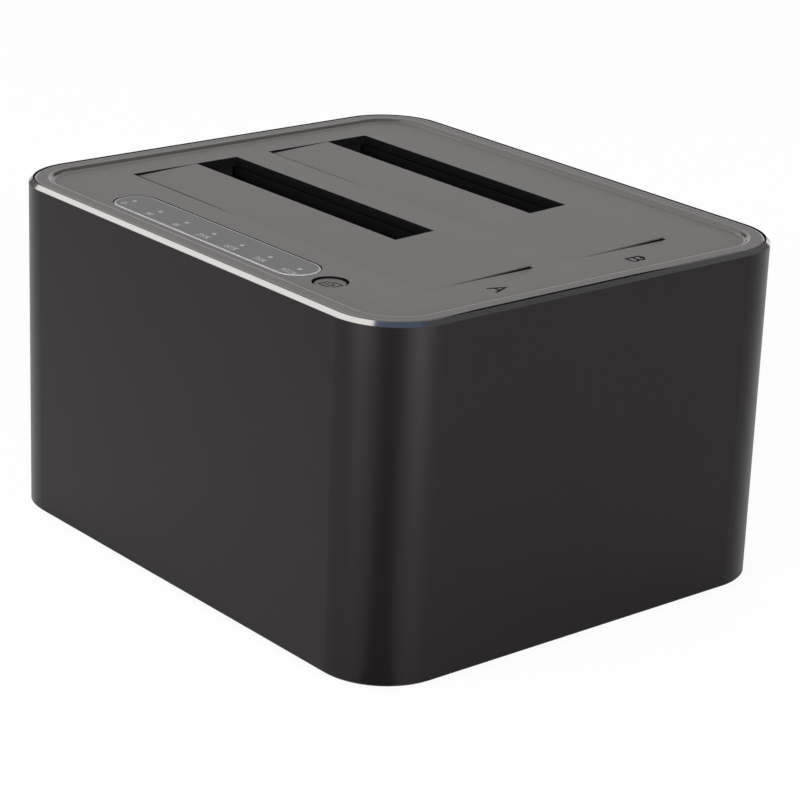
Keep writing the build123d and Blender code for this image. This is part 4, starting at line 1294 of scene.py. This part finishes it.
@dataclass
class StatusPanel:
    """The smoked window with its print, the light guide, and the board and lamps under it."""

    face_z: float = 77.2 * MM
    row_y: float = -44.15 * MM
    label_y: float = -46.95 * MM
    first_x: float = -34.77 * MM
    pitch: float = 9.89 * MM
    dot_radius: float = 0.54 * MM
    label_height: float = 1.45 * MM
    label_line: float = 0.21 * MM
    outline_inset: float = 0.36 * MM
    outline_line: float = 0.2 * MM
    outline_rise: float = 0.01 * MM
    round_steps: int = 24
    dot_rises: Point = (0.01 * MM, 0.014 * MM)
    label_rise: float = 0.012 * MM
    labels: tuple[tuple[str, ...], ...] = (
        ("power",), ("drive",), ("drive",),
        ("2", "5", "%"), ("5", "0", "%"), ("7", "5", "%"), ("1", "0", "0", "%"),
    )
    board_z: float = 66.3 * MM
    screw_x: float = 44.5 * MM
    screw_y: float = -44.2 * MM

    def build(self) -> None:
        """Dresses the window and what lies under it, and prints its dots and labels."""
        dress(Finishes.LENS, "status_window")
        # Painted highlight on the window's chamfer faces.
        dress_faces(
            "status_window", Finishes.LENS_EDGE_PAINTED_HIGHLIGHT, lambda face: SLOPED[0] < face.normal.z < SLOPED[1]
        )
        dress(Finishes.GUIDE, "light_guide")
        dress(Finishes.LAMP, "indicator_lamps")
        low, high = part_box("indicator_board")
        dress(CircuitBoard("indicator_board_mask", low=low.z, high=high.z), "indicator_board")
        self.outline()
        self.dots()
        self.prints()
        self.screws()

    def outline(self) -> None:
        """A pale line round the window, just inside its edge: a painted highlight for the light along
        the window's edge.
        """
        low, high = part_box("status_window")
        middle = (low + high) / 2
        radius = (high.y - low.y) / 2
        half = (high.x - low.x) / 2 - radius
        radius -= self.outline_inset
        ends = ((half, -90, 90), (-half, 90, 270))
        ring = [p for x, a0, a1 in ends for p in arc(x, 0.0, radius, a0, a1, self.round_steps)]
        builder = MeshBuilder()
        place = Matrix.Translation(Vector((middle.x, middle.y, self.face_z)))
        builder.stroke([*ring, ring[0]], self.outline_line, place, self.outline_rise)
        seat(builder.build("window_outline_painted_highlight", Finishes.EDGE_PAINTED_HIGHLIGHT), "housing", "smoked_lens")

    def dots(self) -> None:
        """The seven pale spots that the lamps shine through."""
        edge, crown = self.dot_rises
        profile = [(self.dot_radius, 0.0), (self.dot_radius, edge), (self.dot_radius * 0.2, crown)]
        builder = MeshBuilder()
        for i in range(len(self.labels)):
            spot = Vector((self.first_x + self.pitch * i, self.row_y, self.face_z))
            place = Matrix.Translation(spot)
            builder.lathe(profile, place, self.round_steps)
        seat(builder.build("window_lamp_dots", Finishes.PALE_INK), "housing", "smoked_lens")

    def prints(self) -> None:
        """The thin labels in front of the dots."""
        builder = MeshBuilder()
        for i, signs in enumerate(self.labels):
            spot = Vector((self.first_x + self.pitch * i, self.label_y, self.face_z))
            legend = Legend(signs, self.label_height, self.label_line)
            legend.draw(builder, Matrix.Translation(spot), self.label_rise)
        seat(builder.build("window_labels", Finishes.PALE_INK), "housing", "smoked_lens")

    def screws(self) -> None:
        """The two screws up through the indicator board."""
        spots = [(x, self.screw_y, self.board_z) for x in (-self.screw_x, self.screw_x)]
        drive_screws("indicator_screw_set", "indicator_screws", SMALL_SCREW, spots, Facing.DOWN)


@dataclass
class CopyButton:
    """The round button with its engraved sign, and the tact switch under it."""

    x: float = 34.7 * MM
    y: float = -44.2 * MM
    sign_height: float = 3.2 * MM
    sign_line: float = 0.3 * MM
    sign_rise: float = 0.012 * MM
    sign_shift: Point = (0.6 * MM, -0.4 * MM)

    def build(self) -> None:
        """Dresses the button and its switch, and draws the sign."""
        dress(Finishes.TOP, "clone_button")
        dress(Finishes.TACT, "tact_switch")
        dress(Finishes.SOCKET, "tact_plunger")
        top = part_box("clone_button")[1].z
        builder = MeshBuilder()
        across, along = self.sign_shift
        place = Matrix.Translation(Vector((self.x + across, self.y + along, top)))
        # The sign's dark strokes are painted shade for the shade in its engraving.
        Legend(("copy",), self.sign_height, self.sign_line).draw(builder, place, self.sign_rise)
        seat(builder.build("button_sign", Finishes.DARK_ENGRAVING_SHADE), "button", "top_plastic")


@dataclass
class MainBoard:
    """The main circuit board with its chips, cans and screws."""

    screw_places: tuple[Point, ...] = ((-46.0, -43.5), (-46.0, 35.5), (46.0, -43.5), (46.0, 35.5))
    seat_z: float = 11.4 * MM
    chip_half: float = 6.0 * MM
    leg_count: int = 12
    leg_pitch: float = 0.8 * MM
    leg_size: Point = (0.32 * MM, 0.14 * MM)
    leg_bends: tuple[Point, ...] = (
        (-0.1 * MM, 0.75 * MM), (0.3 * MM, 0.75 * MM), (0.5 * MM, 0.05 * MM), (1.1 * MM, 0.05 * MM),
    )

    def build(self) -> None:
        """Dresses the board and what is soldered on it, and adds legs and screws."""
        low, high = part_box("main_board")
        dress(CircuitBoard("main_board_mask", low=low.z, high=high.z), "main_board")
        dress(Finishes.CHIP, "bridge_chip", "small_chips")
        dress(Finishes.SOCKET, "inductors")
        dress(Finishes.CAN, "crystal", "capacitors")
        self.chip_legs()
        self.screws()

    def chip_legs(self) -> None:
        """The bent legs round the bridge chip."""
        low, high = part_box("bridge_chip")
        middle = (low + high) / 2
        builder = MeshBuilder()
        width, thick = self.leg_size
        for turn in range(4):
            quarter = Matrix.Rotation(turn * math.pi / 2, 4, "Z")
            spin = Matrix.Translation((middle.x, middle.y, low.z)) @ quarter
            for i in range(self.leg_count):
                x = (i - (self.leg_count - 1) / 2) * self.leg_pitch
                x0, x1 = x - width / 2, x + width / 2
                builder.rings([
                    [spin @ Vector((u, self.chip_half + out, v))
                     for u, v in ((x0, z), (x1, z), (x1, z + thick), (x0, z + thick))]
                    for out, z in self.leg_bends
                ])
        seat(builder.build("bridge_chip_legs", Finishes.TACT, 20.0), "housing", "chip_black")

    def screws(self) -> None:
        """The four screws down through the board."""
        spots = [(x * MM, y * MM, self.seat_z) for x, y in self.screw_places]
        drive_screws("board_screw_set", "board_screws", SMALL_SCREW, spots, Facing.UP)


@dataclass
class FlatCable:
    """The flat cable between the boards and its two sockets."""

    middle: float = -26.0 * MM

    def build(self) -> None:
        """Dresses the cable and its sockets."""
        dress(FlatCableFilm("flat_cable_film", middle=self.middle), "ribbon_cable")
        dress(Finishes.SOCKET, "upper_ribbon_socket", "lower_ribbon_socket")


@dataclass
class RearPorts:
    """The port plate with the data socket, the power inlet and the power switch."""

    rocker_x: float = 18.5 * MM
    rocker_y: float = 53.8 * MM
    rocker_z: float = 16.7 * MM
    rocker_tilt: float = 5.0
    rocker_face: float = 2.2 * MM
    rocker_reach: float = 3.1 * MM
    sign_height: float = 2.6 * MM
    sign_line: float = 0.4 * MM
    sign_rise: float = 0.012 * MM
    port_floor: float = 12.4 * MM
    port_height: float = 7.9 * MM
    tongue_height: float = 3.2 * MM
    upper_tongue: float = 1.3 * MM
    contact_width: float = 0.7 * MM
    contact_thickness: float = 0.02 * MM
    contact_back: float = 0.3 * MM
    contact_spread: float = 1.3 * MM
    lower_reach: float = 6.5 * MM
    upper_reach: float = 5.0 * MM
    upper_pitch: float = 0.95 * MM
    upper_drop: float = 0.47 * MM

    def build(self) -> None:
        """Dresses the ports, and adds the switch's signs and the data socket's contacts."""
        dress(Finishes.BEZEL, "rear_bezel")
        dress(Finishes.SHELL, "usb_shell")
        dress(Finishes.SOCKET, "usb_tongues", "power_jack", "switch_body")
        dress(Finishes.CONTACT, "power_jack_pin")
        dress(Finishes.ROCKER, "power_rocker")
        self.tongue_contacts()
        self.rocker_signs()

    def rocker_signs(self) -> None:
        """The two signs printed on the rocker's faces, read from the rear."""
        builder = MeshBuilder()
        tilt = math.radians(self.rocker_tilt)
        pivot = Matrix.Translation((self.rocker_x, self.rocker_y, self.rocker_z))
        pivot = pivot @ Matrix.Rotation(tilt, 4, "Z")
        for side, name in ((1, "I"), (-1, "O")):
            across = Vector((-math.cos(tilt), -side * math.sin(tilt), 0.0))
            out = Vector((-side * math.sin(tilt), math.cos(tilt), 0.0))
            lift = self.rocker_face + self.rocker_reach * math.tan(tilt)
            spot = Vector((side * self.rocker_reach, lift, 0.0))
            face = Matrix((across, Vector((0.0, 0.0, 1.0)), out)).transposed().to_4x4()
            place = pivot @ Matrix.Translation(spot) @ face
            Legend((name,), self.sign_height, self.sign_line).draw(builder, place, self.sign_rise)
        seat(builder.build("rocker_signs", Finishes.WHITE_INK), "rocker", "rocker_plastic")

    def tongue_contacts(self) -> None:
        """The flat contacts on the faces of the data socket's tongues."""
        low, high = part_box("usb_tongues")
        middle = (low.x + high.x) / 2
        back, half, thick = high.y - self.contact_back, self.contact_width / 2, self.contact_thickness
        builder = MeshBuilder()
        tongue_z = self.port_floor + (self.port_height - self.tongue_height) / 2
        for x in (middle - self.contact_spread, middle + self.contact_spread):
            for z in (tongue_z - thick, tongue_z + self.tongue_height):
                builder.block((x - half, high.y - self.lower_reach, z), (x + half, back, z + thick))
        z = self.port_floor + self.port_height + self.upper_tongue - self.upper_drop
        for i in range(5):
            x = middle + (i - 2) * self.upper_pitch
            x0, x1 = x - half / 2, x + half / 2
            builder.block((x0, high.y - self.upper_reach, z), (x1, back, z + thick))
        seat(builder.build("data_socket_contacts", Finishes.CONTACT), "housing", "contact_metal")


def direction(az: float, el: float = 0.0) -> tuple[float, float, float]:
    """The unit vector towards an azimuth and an elevation, in degrees."""
    az, el = math.radians(az), math.radians(el)
    return (math.cos(az) * math.cos(el), math.sin(az) * math.cos(el), math.sin(el))


@dataclass(frozen=True)
class Opening:
    """A darker part of the tent, round one direction, with a soft border."""

    az: float
    el: float
    inner: float
    outer: float
    colour: Colour


@dataclass(frozen=True)
class Softbox:
    """A rectangular soft lamp that looks at the object's upright axis."""

    name: str
    towards: tuple[float, float, float]
    distance: float
    middle: float
    size: tuple[float, float]
    radiance: float
    in_gloss: bool = True

    def build(self) -> None:
        """Makes the lamp."""
        light = bpy.data.lights.new(self.name, "AREA")
        light.shape = "RECTANGLE"
        light.size, light.size_y = self.size
        light.energy = self.radiance * math.pi * self.size[0] * self.size[1]
        lamp = bpy.data.objects.new(self.name, light)
        out = Vector(self.towards).normalized()
        lamp.location = out * self.distance + Vector((0.0, 0.0, self.middle))
        lamp.rotation_mode = "QUATERNION"
        lamp.rotation_quaternion = out.to_track_quat("Z", "Y")
        lamp.visible_glossy = self.in_gloss
        bpy.context.scene.collection.objects.link(lamp)


@dataclass
class Studio:
    """Paper sweep, soft light and the camera at the photograph's place."""

    place: tuple[float, float, float] = (0.454503, -0.377636, 0.245291)
    right: tuple[float, float, float] = (0.63281412, 0.77342922, 0.0367903)
    up: tuple[float, float, float] = (-0.28390926, 0.1875632, 0.94032738)
    back: tuple[float, float, float] = (0.72037617, -0.60549755, 0.33827636)
    lens: float = 126.096
    sensor: float = 36.0
    clip: Point = (0.01, 50.0)
    floor_half: float = 6.0
    hole_half: Point = (58.0 * MM, 47.5 * MM)
    card_middle: Point = (52.7 * MM, -42.0 * MM)
    card_height: float = 0.5 * MM
    card_az: Point = (-60.0, -27.0)
    card_reach: Point = (15.8 * MM, 420.0 * MM)
    card_steps: int = 12
    tent: Colour = (1.0, 1.0, 1.0)
    openings: tuple[Opening, ...] = (
        Opening(az=40.0, el=8.0, inner=15.0, outer=50.0, colour=(0.9, 0.93, 1.0)),
        Opening(az=26.5, el=56.0, inner=41.0, outer=47.0, colour=(0.07, 0.073, 0.08)),
        Opening(az=92.0, el=26.0, inner=22.0, outer=28.0, colour=(0.1, 0.1, 0.105)),
        Opening(az=-30.0, el=66.0, inner=24.0, outer=27.0, colour=(0.075, 0.1, 0.16)),
        Opening(az=175.0, el=14.0, inner=15.0, outer=18.0, colour=(0.12, 0.12, 0.12)),
        Opening(az=-40.0, el=6.0, inner=16.0, outer=30.0, colour=(0.05, 0.05, 0.055)),
    )
    lamps: tuple[Softbox, ...] = (
        Softbox("key_softbox", (-0.55, -0.55, 0.63), 1.3, 0.04, (1.3, 0.9), 0.75, in_gloss=False),
        Softbox("strip_front", direction(-83.0), 0.9, 0.26, (0.14, 0.5), 42.0),
        Softbox("strip_right", direction(-3.0), 0.9, 0.26, (0.14, 0.5), 52.0),
    )

    def build(self) -> None:
        """Sets the floor, the light and the camera."""
        scene = bpy.context.scene
        scene.view_settings.view_transform = "Standard"
        self.floor()
        self.card()
        self.world(scene)
        for lamp in self.lamps:
            lamp.build()
        self.camera(scene)
        LOG.info("set the studio")

    def floor(self) -> None:
        """The white paper under the object, with a hole in it that lights the object's underside."""
        builder = MeshBuilder()
        points = [Vector((x * half_x, y * half_y, 0.0))
                  for half_x, half_y in ((self.floor_half, self.floor_half), self.hole_half)
                  for x, y in ((-1, -1), (1, -1), (1, 1), (-1, 1))]
        builder.add(points, [(i, (i + 1) % 4, (i + 1) % 4 + 4, i + 4) for i in range(4)])
        builder.build("studio_floor", PaperSweep("studio_paper"))

    def card(self) -> None:
        """A grey card on the paper before the near corner, which shows in gloss alone."""
        middle = Vector((*self.card_middle, self.card_height))
        first, last = self.card_az
        steps = self.card_steps
        rays = [middle + Vector(direction(first + (last - first) * i / steps)) * reach
                for reach in self.card_reach for i in range(steps + 1)]
        builder = MeshBuilder()
        builder.add(rays, [(i, i + steps + 1, i + steps + 2, i + 1) for i in range(steps)])
        card = builder.build("studio_card", GreyCard("studio_card"))
        card.visible_camera = card.visible_diffuse = card.visible_shadow = False

    def world(self, scene: bpy.types.Scene) -> None:
        """A white tent whose darker openings light the object and don't show behind it."""
        world = bpy.data.worlds.new("studio_tent")
        world.use_nodes = True
        scene.world = world
        graph = Graph(world.node_tree)
        towards = graph.node("TexCoord", out="Generated")
        light: Any = self.tent
        for opening in self.openings:
            facing = graph.node("VectorMath", {"operation": "DOT_PRODUCT"},
                                {0: towards, 1: direction(opening.az, opening.el)}, "Value")
            edge = [math.cos(math.radians(angle)) for angle in (opening.outer, opening.inner)]
            light = graph.mix(facing.ramp(*edge), light, opening.colour)
        seen = graph.node("LightPath", out="Is Camera Ray")
        colour = graph.mix(seen, light, self.tent)
        graph.output(graph.node("Background", None, {"Color": colour, "Strength": 1.0}))

    def camera(self, scene: bpy.types.Scene) -> None:
        """The camera, from the fit to the photograph's edges."""
        data = bpy.data.cameras.new("photo_camera")
        data.lens = self.lens
        data.sensor_width = self.sensor
        data.clip_start, data.clip_end = self.clip
        camera = bpy.data.objects.new("photo_camera", data)
        columns = Matrix((self.right, self.up, self.back)).transposed()
        camera.matrix_world = Matrix.Translation(Vector(self.place)) @ columns.to_4x4()
        scene.collection.objects.link(camera)
        scene.camera = camera


def main() -> None:
    """Builds the studio and every sub-assembly."""
    logging.basicConfig(level=logging.INFO, format="%(name)s: %(message)s")
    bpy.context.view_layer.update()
    assemblies = [
        Studio(),
        Housing(),
        FlapBay("a", -33.87 * MM),
        FlapBay("b", 4.16 * MM),
        DriveBay("a"),
        DriveBay("b"),
        WellScrews(),
        StatusPanel(),
        CopyButton(),
        MainBoard(),
        FlatCable(),
        RearPorts(),
    ]
    for assembly in assemblies:
        assembly.build()
        LOG.info("finished %s", type(assembly).__name__)


if __name__ == "__main__":
    main()
